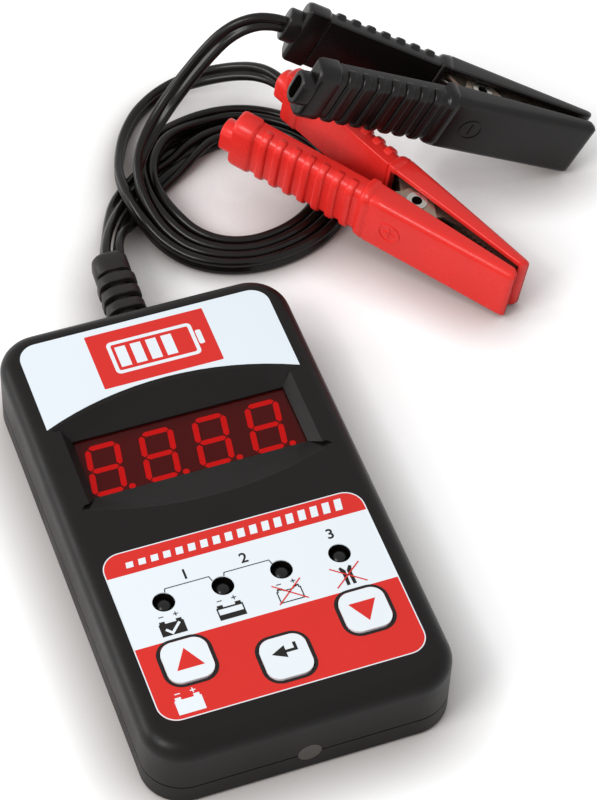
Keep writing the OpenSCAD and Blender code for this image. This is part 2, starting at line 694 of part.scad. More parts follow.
// Rings and side spines of the strain relief, between the wall and its end collar. Its far end is
// pulled sideways, and the rings stay parallel to the wall.
module strain_relief() {
    h = boot_w - 0.6;
    pitch = slot_run / (boot_slots + 0.45);
    base_t = 1;
    core_l = (slot_run - base_t / 2) / cos(boot_lean);
    color("#1b1a19") translate([0, boot_y0, boot_z]) rotate([-90, 0, 0]) {
        translate([0, 0, -wall_t - flange_h]) cylinder(r = flange_r - 0.3, h = flange_h);
        translate([0, 0, -wall_t - eps]) cylinder(r = neck_r, h = wall_t + eps);
        linear_extrude(base_t) boot_section(boot_w, h);
        for (i = [0 : boot_slots - 1]) {
            along = slot_run - (boot_slots - i) * pitch;
            w = boot_w - (boot_w - boot_end_w) * i / boot_slots;
            translate([along * tan(boot_lean), 0, along])
                linear_extrude(pitch * 0.62) boot_section(w, h - 0.25 * i);
        }
        translate([base_t / 2 * tan(boot_lean), 0, base_t / 2]) rotate([0, boot_lean, 0]) {
            linear_extrude(core_l) boot_section(boot_end_w, 3.4);
            cylinder(r = 3.1, h = core_l);
        }
        translate([slot_run * tan(boot_lean), 0, slot_run]) linear_extrude(boot_l - slot_run - 1.2)
            boot_section(boot_end_w, h - 1.2);
        translate([slot_run * tan(boot_lean), 0, boot_l - 1.2 - eps]) linear_extrude(1.2 + eps)
            boot_section(boot_end_w - 1.4, h - 2.6);
    }
}

module end_plug() {
    color("#33302e") translate([0, -case_l / 2, plug_z]) rotate([-90, 0, 0]) {
        cylinder(d = plug_d, h = wall_t + 0.3 + eps);
        translate([0, 0, wall_t + 0.3]) cylinder(d = plug_d + 1.6, h = 1.4);
    }
}

// Sweeps. A path point is [x, y, z, roll]: roll 0 lays the wide side flat, 90 stands it on edge.

function spot(p) = [p.x, p.y, p.z];

function mid_point(pts, i, t) =
    let (n = len(pts) - 1, a = pts[max(i - 1, 0)], b = pts[i], c = pts[min(i + 1, n)], d = pts[min(i + 2, n)])
    0.5 * (2 * b + (c - a) * t + (2 * a - 5 * b + 4 * c - d) * t * t + (3 * b - a - 3 * c + d) * t * t * t);

function smooth_path(pts, parts) = concat(
    [for (i = [0 : len(pts) - 2], k = [0 : parts - 1]) mid_point(pts, i, k / parts)],
    [pts[len(pts) - 1]]);

function ring_frame(path, i) =
    let (n = len(path) - 1, t = spot(path[min(i + 1, n)]) - spot(path[max(i - 1, 0)]), u = t / norm(t),
        s0 = cross(u, [0, 0, 1]), s = s0 / norm(s0))
    [s, cross(s, u)];

function ring(path, i, w, h, sides) =
    let (f = ring_frame(path, i), r = path[i][3])
    [for (k = [0 : sides - 1]) let (a = 360 * (k + 0.5) / sides, x = w / 2 * cos(a), y = h / 2 * sin(a))
        spot(path[i]) + f[0] * (x * cos(r) - y * sin(r)) + f[1] * (x * sin(r) + y * cos(r))];

module sweep(path, w, h, sides) {
    n = len(path);
    faces = concat(
        [[for (k = [0 : sides - 1]) k]],
        [for (i = [0 : n - 2], k = [0 : sides - 1]) let (a = i * sides, b = (k + 1) % sides)
            [a + k, a + sides + k, a + sides + b, a + b]],
        [[for (k = [sides - 1 : -1 : 0]) (n - 1) * sides + k]]);
    polyhedron([for (i = [0 : n - 1]) each ring(path, i, w, h, sides)], faces, convexity = 10);
}

module inner_wires(x, sign) {
    for (u = [0, 1]) sweep(smooth_path([
        [x + sign * u * 1.2, boot_y0 - wall_t - flange_h, boot_z + 0.6, 0],
        [x + sign * u * 1.6, boot_y0 - 7, boot_z + 1.6, 0],
        [sign * (1.5 + 3 * u), terminal_y + 5, pcb_top + 4.6, 0],
        [sign * (1.5 + 3 * u), terminal_y + 1.5, pcb_top + 4.2, 0],
        [sign * (1.5 + 3 * u), terminal_y + 0.2, pcb_top + 2.5, 0]],
        3), inner_wire_d, inner_wire_d, 8);
}

module inner_wires_red() { color("#b5202a") inner_wires(0.8, 1); }
module inner_wires_black() { color("#181818") inner_wires(-0.8, -1); }

// Clamps. A lever is drawn with x along it from the tip, its outer face on y = 0 with the other
// lever towards -y, and z along the rivet, centred.

module lever_frame() {
    rotate([0, 0, half_angle]) translate([-rivet_s, rivet_n, 0]) children();
}

// Moves a clamp, drawn about its rivet with x towards the grips, to where it lies
module at_clamp(place) {
    translate([place[0], place[1], place[2]]) rotate([0, 0, place[3]]) rotate([0, -place[4], 0])
        rotate([-place[5], 0, 0]) translate([rivet_s, -rivet_n, lever_w / 2])
            rotate([0, 0, -half_angle]) children();
}

module front_of(place) { at_clamp(place) lever_frame() children(); }
module rear_of(place) { at_clamp(place) mirror([0, 1, 0]) lever_frame() children(); }

module cover_section(d, w, r) {
    difference() {
        translate([-d, -w / 2]) square([d, w]);
        for (s = [-1, 1]) translate([-r, s * (w / 2 - r)]) difference() {
            translate([0, s > 0 ? 0 : -r - 1]) square(r + 1);
            circle(r);
        }
    }
}

// A bar along x from x0 to x1 whose cross-section has both outer edges rounded
module cover_bar(x0, x1, d, w, r) {
    translate([x0, 0, 0]) rotate([90, 0, 90]) linear_extrude(x1 - x0) cover_section(d, w, r);
}

module jaw_cover() {
    difference() {
        intersection() {
            translate([0, 0, -lever_w / 2]) linear_extrude(lever_w) polygon([
                [0, -1], [1, 0], [jaw_l, 0], [jaw_l, -jaw_root_d], [1.5, -jaw_tip_d], [0, -jaw_tip_d + 0.6]]);
            cover_bar(0, jaw_l, jaw_root_d + 1, lever_w, jaw_r);
        }
        translate([1.4, -jaw_root_d - 1 - cover_t, -cavity_w / 2])
            cube([jaw_l, jaw_root_d + 1, cavity_w]);
    }
}

module grip_shape() {
    core = slot_d;
    first = jaw_l + 1.6;
    cover_bar(jaw_l - 1, first, grip_d, lever_w, (jaw_r + grip_r) / 2);
    translate([0, -core, 0]) cover_bar(first - eps, first + grip_slots * slot_pitch, grip_d - core,
        lever_w - 2 * core, grip_r * 0.4);
    for (i = [0 : grip_slots - 1]) cover_bar(first + i * slot_pitch + slot_w,
        first + (i + 1) * slot_pitch, grip_d, lever_w, grip_r);
    cover_bar(first + grip_slots * slot_pitch - eps, lever_l, grip_d, lever_w, grip_r);
}

module boss_shape(hollow) {
    translate([lever_l - eps, -grip_d / 2, 0]) rotate([90, 0, 90]) difference() {
        linear_extrude(boss_l + eps) rounded(grip_d - 0.2, 9, 2.7);
        if (hollow) translate([0, 0, -1]) linear_extrude(boss_l + 2) rounded(grip_d - 2.6, 6.4, 1.6);
    }
}

module polarity_mark(plus) {
    translate([jaw_l - 8, 0.3, 0]) rotate([90, 0, 0]) {
        linear_extrude(0.3 + eps) {
            difference() {
                circle(3);
                circle(2.6);
            }
            square([0.5, 3.4], center = true);
            if (plus) square([3.4, 0.5], center = true);
        }
    }
}

module cover(plus, hollow) {
    difference() {
        union() {
            jaw_cover();
            grip_shape();
            boss_shape(hollow);
            polarity_mark(plus);
        }
        translate([jaw_l - 2, -cover_t - handle_d, -grip_cavity_w / 2])
            cube([handle_l + 2 - jaw_l, handle_d, grip_cavity_w]);
        if (hollow) translate([handle_l - eps, -grip_d / 2, 0]) rotate([90, 0, 90])
            linear_extrude(lever_l - handle_l + 2 * eps) rounded(grip_d - 2.6, 6.4, 1.6);
    }
}

function tooth_line(x) = -jaw_tip_d - 0.7 - x * 0.06;

// Side flange of a steel lever: toothed jaw, ear around the rivet and handle
module flange_outline() {
    teeth = floor(19 / tooth_pitch);
    polygon(concat(
        [[1.8, -cover_t]],
        [for (i = [0 : teeth - 1], k = [0, 1]) let (x = 2.2 + (i + k / 2) * tooth_pitch)
            [x, tooth_line(x) + (k == 0 ? 0 : 0.6)]],
        [[24, -5.6], [rivet_s - ear_flat * 0.6, -rivet_n - ear_r * 0.4],
            [rivet_s + ear_flat * 0.5, -rivet_n - ear_r * 0.4], [jaw_l - 1, -cover_t - handle_d + 0.3],
            [handle_l - 1, -cover_t - handle_d + 0.3], [handle_l - 1, -cover_t]]));
    translate([rivet_s, -rivet_n]) circle(ear_r);
}

module steel_lever(w) {
    color("#9a9a98") difference() {
        union() {
            for (s = [-1, 1]) translate([0, 0, s > 0 ? w / 2 - steel_t : -w / 2])
                linear_extrude(steel_t) flange_outline();
            translate([1.8, -cover_t - steel_t, -w / 2]) cube([handle_l - 2.8, steel_t, w]);
        }
        translate([rivet_s, -rivet_n, -w]) cylinder(d = rivet_d + 2 * rivet_gap, h = 2 * w);
    }
}

module rivet() {
    head = rivet_head;
    h = outer_steel_w + 2 * head;
    color("#c8c8c6") rotate_extrude() {
        translate([rivet_bore / 2, -h / 2]) square([(rivet_d - rivet_bore) / 2, h]);
        for (z = [-h / 2, h / 2 - head]) translate([rivet_bore / 2, z])
            square([rivet_d / 2 + 0.6 - rivet_bore / 2, head]);
    }
}

// Point of a lever, [along it, outwards from its outer face], seen from the rivet
function lever_point(x, y) = [
    (x - rivet_s) * cos(half_angle) - (y + rivet_n) * sin(half_angle),
    (x - rivet_s) * sin(half_angle) + (y + rivet_n) * cos(half_angle)];

module clamp_spring() {
    turns = 4.55;
    coil_r = rivet_d / 2 + 0.5 + spring_wire / 2;
    coil_h = 4.6;
    leg = lever_point(rivet_s + 15, -cover_t - steel_t - spring_wire / 2);
    steps = 50;
    color("#b4b4b2") sweep(concat(
        [[leg.x, leg.y, -coil_h / 2, 0]],
        [for (i = [0 : steps]) let (a = 82 + (turns * 360 - 2) * i / steps)
            [coil_r * cos(a), coil_r * sin(a), coil_h * (i / steps - 0.5), 0]],
        [[leg.x, -leg.y, coil_h / 2, 0]]), spring_wire, spring_wire, 6);
}

module crimp() {
    color("#c9b27a") translate([lever_l - 17, -cover_t - steel_t - 2, -2.2]) cube([8, 2, 4.4]);
}

module red_rear_cover() { color("#d42a26") rear_of(red_place) cover(true, false); }
module red_front_cover() { color("#d42a26") front_of(red_place) cover(true, true); }
module red_rear_lever() { rear_of(red_place) steel_lever(inner_steel_w); }
module red_front_lever() { front_of(red_place) steel_lever(outer_steel_w); }
module red_rivet() { at_clamp(red_place) rivet(); }
module red_spring() { at_clamp(red_place) clamp_spring(); }
module red_crimp() { rear_of(red_place) crimp(); }
module black_rear_cover() { color("#201e1e") rear_of(black_place) cover(false, false); }
module black_front_cover() { color("#201e1e") front_of(black_place) cover(false, true); }
module black_rear_lever() { rear_of(black_place) steel_lever(inner_steel_w); }
module black_front_lever() { front_of(black_place) steel_lever(outer_steel_w); }
module black_rivet() { at_clamp(black_place) rivet(); }
module black_spring() { at_clamp(black_place) clamp_spring(); }
module black_crimp() { rear_of(black_place) crimp(); }

module red_lead() { color("#161616") sweep(smooth_path(red_route, 1), lead_w, lead_t, 8); }
module black_lead() { color("#161616") sweep(smooth_path(black_route, 1), lead_w, lead_t, 8); }

upper_case();
lower_case();
case_screws();
display_window();
display_block();
display_segments();
face_label();
keypad_film();
key_up();
key_enter();
key_down();
plunger_up();
plunger_enter();
plunger_down();
key_switches();
led_1();
led_2();
led_3();
led_4();
circuit_board();
board_screws();
microcontroller();
crystal();
load_resistors();
load_transistor();
capacitors();
voltage_regulator();
lead_terminals();
inner_wires_red();
inner_wires_black();
end_plug();
strain_relief();
red_lead();
red_rear_cover();
red_rear_lever();
red_front_cover();
red_front_lever();
red_rivet();
red_spring();
red_crimp();
black_lead();
black_rear_cover();
black_rear_lever();
black_front_cover();
black_front_lever();
black_rivet();
black_spring();
black_crimp();
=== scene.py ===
"""Looks of a hand-held battery tester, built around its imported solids."""

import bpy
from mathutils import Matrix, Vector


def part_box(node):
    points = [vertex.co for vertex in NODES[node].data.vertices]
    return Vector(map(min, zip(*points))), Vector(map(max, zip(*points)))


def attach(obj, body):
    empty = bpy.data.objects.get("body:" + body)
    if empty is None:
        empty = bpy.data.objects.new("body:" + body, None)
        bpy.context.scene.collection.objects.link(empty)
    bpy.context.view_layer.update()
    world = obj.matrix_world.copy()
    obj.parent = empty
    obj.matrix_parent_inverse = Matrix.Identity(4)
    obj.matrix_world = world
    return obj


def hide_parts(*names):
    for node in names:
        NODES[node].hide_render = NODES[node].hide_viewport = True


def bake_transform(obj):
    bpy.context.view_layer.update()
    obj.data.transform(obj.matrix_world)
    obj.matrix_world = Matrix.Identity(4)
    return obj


bl_info = {
    "name": "Battery Tester",
    "version": (1, 0, 0),
    "blender": (4, 5, 0),
    "location": "View3D > Sidebar > Tester",
    "description": "Dresses a battery tester: leads, clamps, strain relief, print and stage",
    "category": "Object",
}

import math

import bmesh
import bpy
import numpy as np
from bpy.props import FloatProperty, IntProperty, PointerProperty, StringProperty
from mathutils import Matrix, Vector
from mathutils.geometry import tessellate_polygon

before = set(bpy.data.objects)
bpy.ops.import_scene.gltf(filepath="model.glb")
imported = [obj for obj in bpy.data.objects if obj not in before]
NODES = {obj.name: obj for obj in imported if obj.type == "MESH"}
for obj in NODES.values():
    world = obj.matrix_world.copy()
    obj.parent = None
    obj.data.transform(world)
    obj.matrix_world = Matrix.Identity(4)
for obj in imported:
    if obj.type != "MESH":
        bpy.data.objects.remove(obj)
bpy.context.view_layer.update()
MM = 0.001
TESTER = "tester"
COLOURS = ("red", "black")
SIDES = ("rear", "front")

# Clamp places: tip x, y, z in millimetres, then yaw, pitch and roll in degrees
CLAMP_PLACES = {
    "red": (87.4, 43.2, 0.15, 129.3, 6.5, 0),
    "black": (120.8, 82, 0.45, 173.2, 25.5, 0),
}

# Height in millimetres and roll in degrees of a flat lead that stands on edge on the floor
ON_EDGE = (2.5, 90)

# Lead routes from the strain relief: x, y and z in millimetres and the roll of the flat cord in
# degrees. A point that leaves out its roll, or its z too, has those of ON_EDGE.
LEAD_ROUTES = {
    "red": (
        (0.7, 83.5, 7.6, 82), (1.6, 88.1, 7.1, 80), (4, 94.1, 5.6, 75), (7.3, 100.9, 3.6, 50),
        (11, 106.9, 1.9, 15), (15.5, 111.5, 1.2, 0), (20.6, 115.2, 1.2, 0), (26.8, 118, 1.3, 5),
        (33, 120.3, 2, 42), (39, 121.3, 2.4, 75), (45, 121.1), (50.5, 119.6), (55.6, 116.6),
        (59.7, 112.3), (62.4, 107), (63.3, 101), (62.2, 95), (59.1, 90), (54.5, 85.9), (49.2, 83.1),
        (43.3, 81.5), (37.6, 81.2), (32.1, 82.4), (27.3, 85.1), (23.2, 89, 3), (20.2, 94, 4.2),
        (18.4, 99.8, 5.2), (18.1, 105.8, 5.2), (19, 112, 5.2), (21.6, 118, 5.2), (26, 122.9, 4),
        (32, 126.2, 2.7), (38.8, 127.6), (45.5, 127.4), (51.8, 125.6), (57.6, 122.2), (62.6, 117.5),
        (66.2, 111.6), (68, 105), (67.9, 98.2), (65.8, 91.5), (61.9, 85.6), (56.4, 81), (50, 78.2),
        (43.6, 76.8), (37.3, 76.6), (31, 77.8), (25.2, 80.5), (20.4, 84.5, 2.7), (16.6, 89.6, 3.7),
        (14, 95.6, 5.3), (13, 102, 5.7), (12.8, 108.3, 5.4), (13.6, 114.6, 4.2), (15.8, 121, 3),
        (19, 127.4), (23.6, 133.2), (28.8, 137.2, 2.6), (33.6, 139, 3.2, 95), (38.4, 139, 4.6, 105),
        (43, 137.4, 6.8, 120), (47.2, 134.6, 9.6, 130), (50.8, 131, 12.6, 130),
        (53.8, 127, 15.2, 120), (56.2, 122.8, 16.8, 105), (58.5, 118.1, 17.1),
    ),
    "black": (
        (3.9, 83.5, 7.6, 82), (4.9, 88.1, 7.1, 80), (7, 93, 5.4, 70), (10.2, 97.9, 3.1, 28),
        (14.1, 102.8, 1.3, 0), (19, 107.4, 1.2, 0), (24.6, 111, 1.3, 5), (29.8, 113.9, 1.7, 30),
        (34.8, 116.6, 2.2, 62), (39.8, 118.5, 2.5, 85), (44.8, 118.6), (49.7, 117.2), (54, 114.5),
        (57.6, 110.7), (60, 106.2), (60.8, 101), (59.8, 95.9), (57.3, 91.5), (53.3, 87.9),
        (48.5, 85.4), (43.3, 84), (38, 83.7), (33.1, 84.8), (28.8, 87.3, 2.6), (25.2, 90.9, 3.2),
        (22.6, 95.4, 4.4), (20.9, 100.6, 5.2), (20.5, 106.2, 5.2), (21.4, 111.4, 5.2),
        (23.9, 116.4, 5.2), (28, 120.8, 4.8), (33.2, 123.7, 3.4), (39.2, 125.1), (45.3, 124.9),
        (51, 123.2), (56.2, 120.1), (60.7, 115.9), (63.9, 110.6), (65.6, 104.6), (65.5, 98.3),
        (63.5, 92.3), (60, 87.2), (55.1, 83.3), (49.5, 80.6), (43.5, 79.2), (37.5, 78.9),
        (31.7, 80.1), (26.4, 82.7), (21.9, 86.5, 2.8), (18.5, 91.4, 4), (16.5, 97.1, 5.7),
        (15.7, 102.6, 8), (16.4, 107.6, 10.4, 95), (18.9, 111.9, 13, 110), (22.6, 115.4, 16.1, 125),
        (26.8, 117.8, 20, 135), (30.8, 119, 24.4, 140), (34.7, 119.5, 29.1, 140),
        (38.4, 119.6, 33.6, 135), (42.1, 119.4, 37.6, 125), (46, 118.8, 40.5, 115),
        (50.2, 117.8, 42, 105), (54, 116.5, 42, 95), (57.8, 115, 40.9),
    ),
}


def number(text, value, **kind):
    """A number property, named by what it says."""
    return FloatProperty(name=text, description=text, default=value, **kind)


def size(text, value_mm):
    """A length property, written in millimetres."""
    return number(text, value_mm * MM, unit="LENGTH")


def angle(text, degrees):
    """An angle property, written in degrees."""
    return number(text, math.radians(degrees), subtype="ANGLE")


def colour(text, value):
    """A colour property, written as an sRGB hex value."""
    return StringProperty(name=text, description=text + ", as an sRGB hex value", default=value)


class LeadSettings(bpy.types.PropertyGroup):
    width: size("Width of a twin lead", 4.8)
    core: size("Diameter of each core's sheath", 2.3)
    waist: size("Thickness of the web between the cores", 1.1)
    length_red: size("Length of the red clamp's lead", 410.8)
    length_black: size("Length of the black clamp's lead", 358.6)
    sheath: colour("Colour of the sheath", "#120f0d")


class ClampSettings(bpy.types.PropertyGroup):
    lever_l: size("Length of a lever, tip to grip end", 79)
    lever_w: size("Width of a clamp along its rivet", 16.5)
    tip_w: size("Distance between the outer faces at the tip", 7.6)
    rivet_s: size("Distance of the rivet from the tip", 31)
    jaw_l: size("Length of the jaw cover", 41.3)
    jaw_tip_d: size("Depth of the jaw cover's sides at the tip", 3)
    jaw_root_d: size("Depth of the jaw cover's sides at the grip", 6.4)
    spring_h: size("Length of the spring's coil that winds up", 3.4)
    grip_d: size("Thickness of a grip", 6)
    wall: size("Wall of the cover", 1.4)
    collar_l: size("Length of the collar before the ribs", 1.6)
    rib_pitch: size("Spacing of the grip ribs", 4.05)
    rib_h: size("Height of the grip ribs", 0.7)
    slot_w: size("Width of the grooves between the ribs", 1.8)
    jaw_r: size("Rounding of the jaw cover's outer edges", 1.9)
    grip_r: size("Rounding of a grip's outer edges", 3.3)
    boss_l: size("Length of the boss at the grip's end", 3)
    lever_angle: angle("Angle between the levers' outer faces", 14.9)
    ribs: IntProperty(name="Ribs", description="Number of ribs on a grip", default=7, min=1)
    red: colour("Colour of the positive clamp", "#e8302a")
    black: colour("Colour of the negative clamp", "#110e0d")


class BootSettings(bpy.types.PropertyGroup):
    length: size("Length outside the wall", 25)
    wall_y: size("Outer face of the wall that it leaves", 60)
    wall: size("Thickness of that wall", 2.2)
    axis_z: size("Height of its axis", 7.6)
    width: size("Width at the wall", 9.6)
    end_w: size("Width at the far end", 8.9)
    lean: angle("Lean towards the coil of the leads", 3)
    collar_l: size("Length of the collar at its end", 6)
    rib_w: size("Length of a rib", 2.65)
    ribs: IntProperty(name="Ribs", description="Number of ribs", default=4, min=2)
    colour: colour("Colour of the strain relief", "#211e1c")


class PrintSettings(bpy.types.PropertyGroup):
    ink: size("Thickness of a printed layer", 0.02)
    top: size("Height of the films' top face", 20)
    key_top: size("Height of the keys' top face", 20.4)
    band_high: size("Upper edge of the keypad's white band", -13)
    band_low: size("Lower edge of the keypad's white band", -32.2)
    paper: colour("Colour of the films' white", "#edf5fb")
    red: colour("Red ink", "#dc2d26")
    black: colour("Black ink", "#161412")


class StageSettings(bpy.types.PropertyGroup):
    lens: number("Focal length in millimetres", 132.3)
    floor: size("Half width of the floor", 1500)
    key_power: number("Power of the overhead lamp", 7.5)
    side_power: number("Power of the lamp at the left", 3.8)
    world: number("Strength of the surrounding light", 0.56)


SETTINGS = {
    "leads": LeadSettings, "clamps": ClampSettings, "boot": BootSettings, "printing": PrintSettings,
    "stage": StageSettings,
}


def settings(name):
    return getattr(bpy.context.scene, "tester_" + name)


# Materials

def linear(hex_colour):
    """The linear value of an sRGB hex colour."""
    parts = [int(hex_colour[i : i + 2], 16) / 255 for i in (1, 3, 5)]
    return [p / 12.92 if p <= 0.04045 else ((p + 0.055) / 1.055) ** 2.4 for p in parts] + [1.0]


def add(tree, kind, inputs=(), **values):
    """Adds a node, sets its values and sets or links its inputs. A node given as an input stands
    for its first output."""
    node = tree.nodes.new(kind)
    for name, value in values.items():
        setattr(node, name, value)
    for name, value in dict(inputs).items():
        if isinstance(value, bpy.types.Node):
            value = value.outputs[0]
        if isinstance(value, bpy.types.NodeSocket):
            tree.links.new(value, node.inputs[name])
        else:
            node.inputs[name].default_value = value
    return node


def blank(name):
    """A new material with only its output node."""
    material = bpy.data.materials.new(name)
    material.use_nodes = True
    material.node_tree.nodes.clear()
    return material, material.node_tree


def surface(name, hex_colour, roughness, grain_mm, bump=0.1, blotch=0.06, blotch_mm=9,
            specular=0.5, **others):
    """A moulded, coated or metal surface: its colour and its roughness cloud slightly and its
    grain dents it. others holds plain values for more of the shader's sockets."""
    material, tree = blank(name)
    place = add(tree, "ShaderNodeTexCoord").outputs["Object"]
    grain = add(tree, "ShaderNodeTexNoise", {
        "Vector": place, "Scale": 1 / (grain_mm * MM), "Detail": 3.0, "Roughness": 0.6})
    cloud = add(tree, "ShaderNodeTexNoise", {
        "Vector": place, "Scale": 1 / (blotch_mm * MM), "Detail": 4.0, "Roughness": 0.55})
    shade, rough = (
        add(tree, "ShaderNodeMapRange", {
            "Value": cloud, "From Min": 0.3, "From Max": 0.7,
            "To Min": middle * (1 - swing), "To Max": middle * (1 + swing)})
        for middle, swing in ((1, blotch), (roughness, 0.12)))
    tint = add(tree, "ShaderNodeVectorMath", {
        0: linear(hex_colour)[:3], "Scale": shade}, operation="SCALE")
    dent = add(tree, "ShaderNodeBump", {"Height": grain, "Strength": bump, "Distance": 0.1 * MM})
    shader = add(tree, "ShaderNodeBsdfPrincipled", {
        "Base Color": tint, "Roughness": rough, "Normal": dent, "Specular IOR Level": specular})
    for socket, value in others.items():
        shader.inputs[socket.replace("_", " ")].default_value = value
    add(tree, "ShaderNodeOutputMaterial", {"Surface": shader})
    return material


def made(name, maker):
    """The material of that name, made on first use."""
    return bpy.data.materials.get(name) or maker(name)


def spark_eroded_abs(name):
    # Black ABS from a spark-eroded mould: matt, with a fine even grain drawn coarse enough to show
    return surface(name, "#110e0d", 0.4, 0.45, bump=0.35, blotch=0.05, blotch_mm=14,
                   specular=0.18)


def zinc_screw(name):
    # Zinc-plated steel: grey metal with a slightly cloudy shine
    return surface(name, "#a9abad", 0.32, 0.3, bump=0.08, Metallic=1.0)


def red_filter(name):
    # Clear red PMMA: dark red where nothing lies behind it, with a mirror shine on top
    material, tree = blank(name)
    place = add(tree, "ShaderNodeTexCoord").outputs["Object"]
    wave = add(tree, "ShaderNodeTexNoise", {"Vector": place, "Scale": 1 / (25 * MM), "Detail": 1.0})
    dent = add(tree, "ShaderNodeBump", {"Height": wave, "Strength": 0.02, "Distance": 0.5 * MM})
    clear = add(tree, "ShaderNodeBsdfTransparent", {"Color": linear("#ea4036")})
    body = add(tree, "ShaderNodeBsdfDiffuse", {"Color": linear("#6a1512")})
    tinted = add(tree, "ShaderNodeMixShader", {"Fac": 0.2, 1: clear, 2: body})
    gloss = add(tree, "ShaderNodeBsdfGlossy", {"Roughness": 0.06, "Normal": dent})
    edge = add(tree, "ShaderNodeFresnel", {"IOR": 1.22, "Normal": dent})
    shader = add(tree, "ShaderNodeMixShader", {"Fac": edge, 1: tinted, 2: gloss})
    add(tree, "ShaderNodeOutputMaterial", {"Surface": shader})
    return material


def display_face(name):
    # Matt grey-black face paint of an LED block
    return surface(name, "#5a4a48", 0.6, 0.4, bump=0.05)


def segment_epoxy(name):
    # Diffusing epoxy in the segments: a milky red with a painted glow, an emission that makes it
    # look faintly lit behind the filter
    return surface(name, "#ff6a5a", 0.45, 0.5, bump=0.03, Emission_Color=linear("#ff4a3c"),
                   Emission_Strength=0.8)


def label_film(name):
    # Polyester label with white ink: pale, faintly blue and evenly satin
    return surface(name, "#eaf3fa", 0.32, 0.8, bump=0.03, blotch=0.012, blotch_mm=30,
                   specular=0.3)


def keypad_print(name):
    # Polycarbonate film: glossy red with one white band across it, both printed on its back
    values = settings("printing")
    material = surface(name, values.red, 0.33, 0.7, bump=0.05, blotch=0.02, blotch_mm=20,
                       specular=0.25)
    tree = material.node_tree
    shader = tree.nodes["Principled BSDF"]
    place = add(tree, "ShaderNodeTexCoord").outputs["Object"]
    along = add(tree, "ShaderNodeSeparateXYZ", {"Vector": place}).outputs["Y"]
    below = add(tree, "ShaderNodeMath", {0: along, 1: values.band_high}, operation="LESS_THAN")
    above = add(tree, "ShaderNodeMath", {0: along, 1: values.band_low}, operation="GREATER_THAN")
    band = add(tree, "ShaderNodeMath", {0: below, 1: above}, operation="MULTIPLY")
    red = shader.inputs["Base Color"].links[0].from_socket
    mixed = add(tree, "ShaderNodeMix", {
        "Factor": band, "A": red, "B": linear(values.paper)}, data_type="RGBA")
    tree.links.new(mixed.outputs["Result"], shader.inputs["Base Color"])
    return material


def white_key(name):
    # White polycarbonate keycap under the same satin film
    return surface(name, "#edf5fa", 0.32, 0.7, bump=0.03, blotch=0.01, specular=0.3)


def switch_plastic(name):
    # Black glass-filled nylon of switches and chips
    return surface(name, "#232122", 0.55, 0.3, bump=0.2)


def smoked_lamp(name):
    # Dark smoked epoxy of an unlit lamp: nearly black, with a soft shine
    return surface(name, "#0b0a09", 0.25, 0.8, bump=0.02, blotch=0.02, specular=0.3)


def solder_mask(name):
    # Green solder mask on glass-fibre board: satin, with the weave showing faintly
    return surface(name, "#1f6b3a", 0.38, 0.5, bump=0.15)


def drawn_can(name):
    # Drawn nickel-silver can
    return surface(name, "#c4c6c8", 0.2, 0.6, bump=0.04, Metallic=1.0)


def ceramic(name):
    # Coated ceramic of a power resistor: chalky and grey-beige
    return surface(name, "#cfcab8", 0.7, 0.2, bump=0.3)


def shrink_sleeve(name):
    # Printed PVC sleeve of a capacitor
    return surface(name, "#24303c", 0.3, 0.8, bump=0.05)


def tinned_brass(name):
    # Tinned brass terminal: warm grey metal
    return surface(name, "#c9b27a", 0.3, 0.3, bump=0.1, Metallic=1.0)


def wire_pvc(name):
    # Thin glossy PVC on the inner wires
    return surface(name, "#b5202a" if "red" in name else "#181818", 0.3, 0.6, bump=0.05)


def plug_plastic(name):
    # Grey-black plug of a softer plastic than the shells
    return surface(name, "#4a4542", 0.42, 0.5, bump=0.15, specular=0.3)


def boot_rubber(name):
    # Soft PVC of the strain relief: matt, slightly greasy sheen
    return surface(name, settings("boot").colour, 0.46, 0.5, bump=0.25, blotch=0.08, blotch_mm=5,
                   specular=0.25)


def lead_pvc(name):
    # Extruded PVC sheath: glossy along its length, with fine drag lines that blur the shine
    return surface(name, settings("leads").sheath, 0.22, 0.6, bump=0.12, blotch=0.1, blotch_mm=6,
                   specular=0.22)


def dipped_pvc(name):
    # Moulded soft PVC cover: even colour, waxy shine with faint mould orange peel
    return surface(name, getattr(settings("clamps"), name.split("_")[-1]), 0.27, 1.1, bump=0.12,
                   blotch=0.03, blotch_mm=12, specular=0.26)


def pressed_steel(name):
    # Pressed steel with a thin brassy plating: warm grey, dulled by handling
    return surface(name, "#958678", 0.4, 0.25, bump=0.12, blotch=0.15, blotch_mm=3, Metallic=0.9)


def plated_rivet(name):
    # Bright plated tube rivet
    return surface(name, "#a8a49e", 0.22, 0.5, bump=0.04, Metallic=1.0)


def spring_wire(name):
    # Bright drawn spring wire
    return surface(name, "#b4b4b2", 0.28, 0.3, bump=0.08, Metallic=1.0)


def ink(name):
    # Screen-printed ink under a satin film: flat colour with a soft shine
    return surface(name, getattr(settings("printing"), name.split("_")[-1]), 0.33, 0.7, bump=0.03,
                   blotch=0.015, specular=0.25)


NODE_MATERIALS = {
    spark_eroded_abs: ("upper_case", "lower_case"),
    zinc_screw: ("case_screws", "board_screws"),
    red_filter: ("display_window",),
    display_face: ("display_block",),
    segment_epoxy: ("display_segments",),
    label_film: ("face_label",),
    keypad_print: ("keypad_film",),
    white_key: ("key_up", "key_enter", "key_down"),
    switch_plastic: (
        "key_switches", "plunger_up", "plunger_enter", "plunger_down", "microcontroller",
        "load_transistor", "voltage_regulator"),
    smoked_lamp: ("led_1", "led_2", "led_3", "led_4"),
    solder_mask: ("circuit_board",),
    drawn_can: ("crystal",),
    ceramic: ("load_resistors",),
    shrink_sleeve: ("capacitors",),
    tinned_brass: ("lead_terminals", "red_crimp", "black_crimp"),
    plug_plastic: ("end_plug",),
    pressed_steel: [f"{colour}_{side}_lever" for colour in COLOURS for side in SIDES],
    plated_rivet: ("red_rivet", "black_rivet"),
}


# Meshes

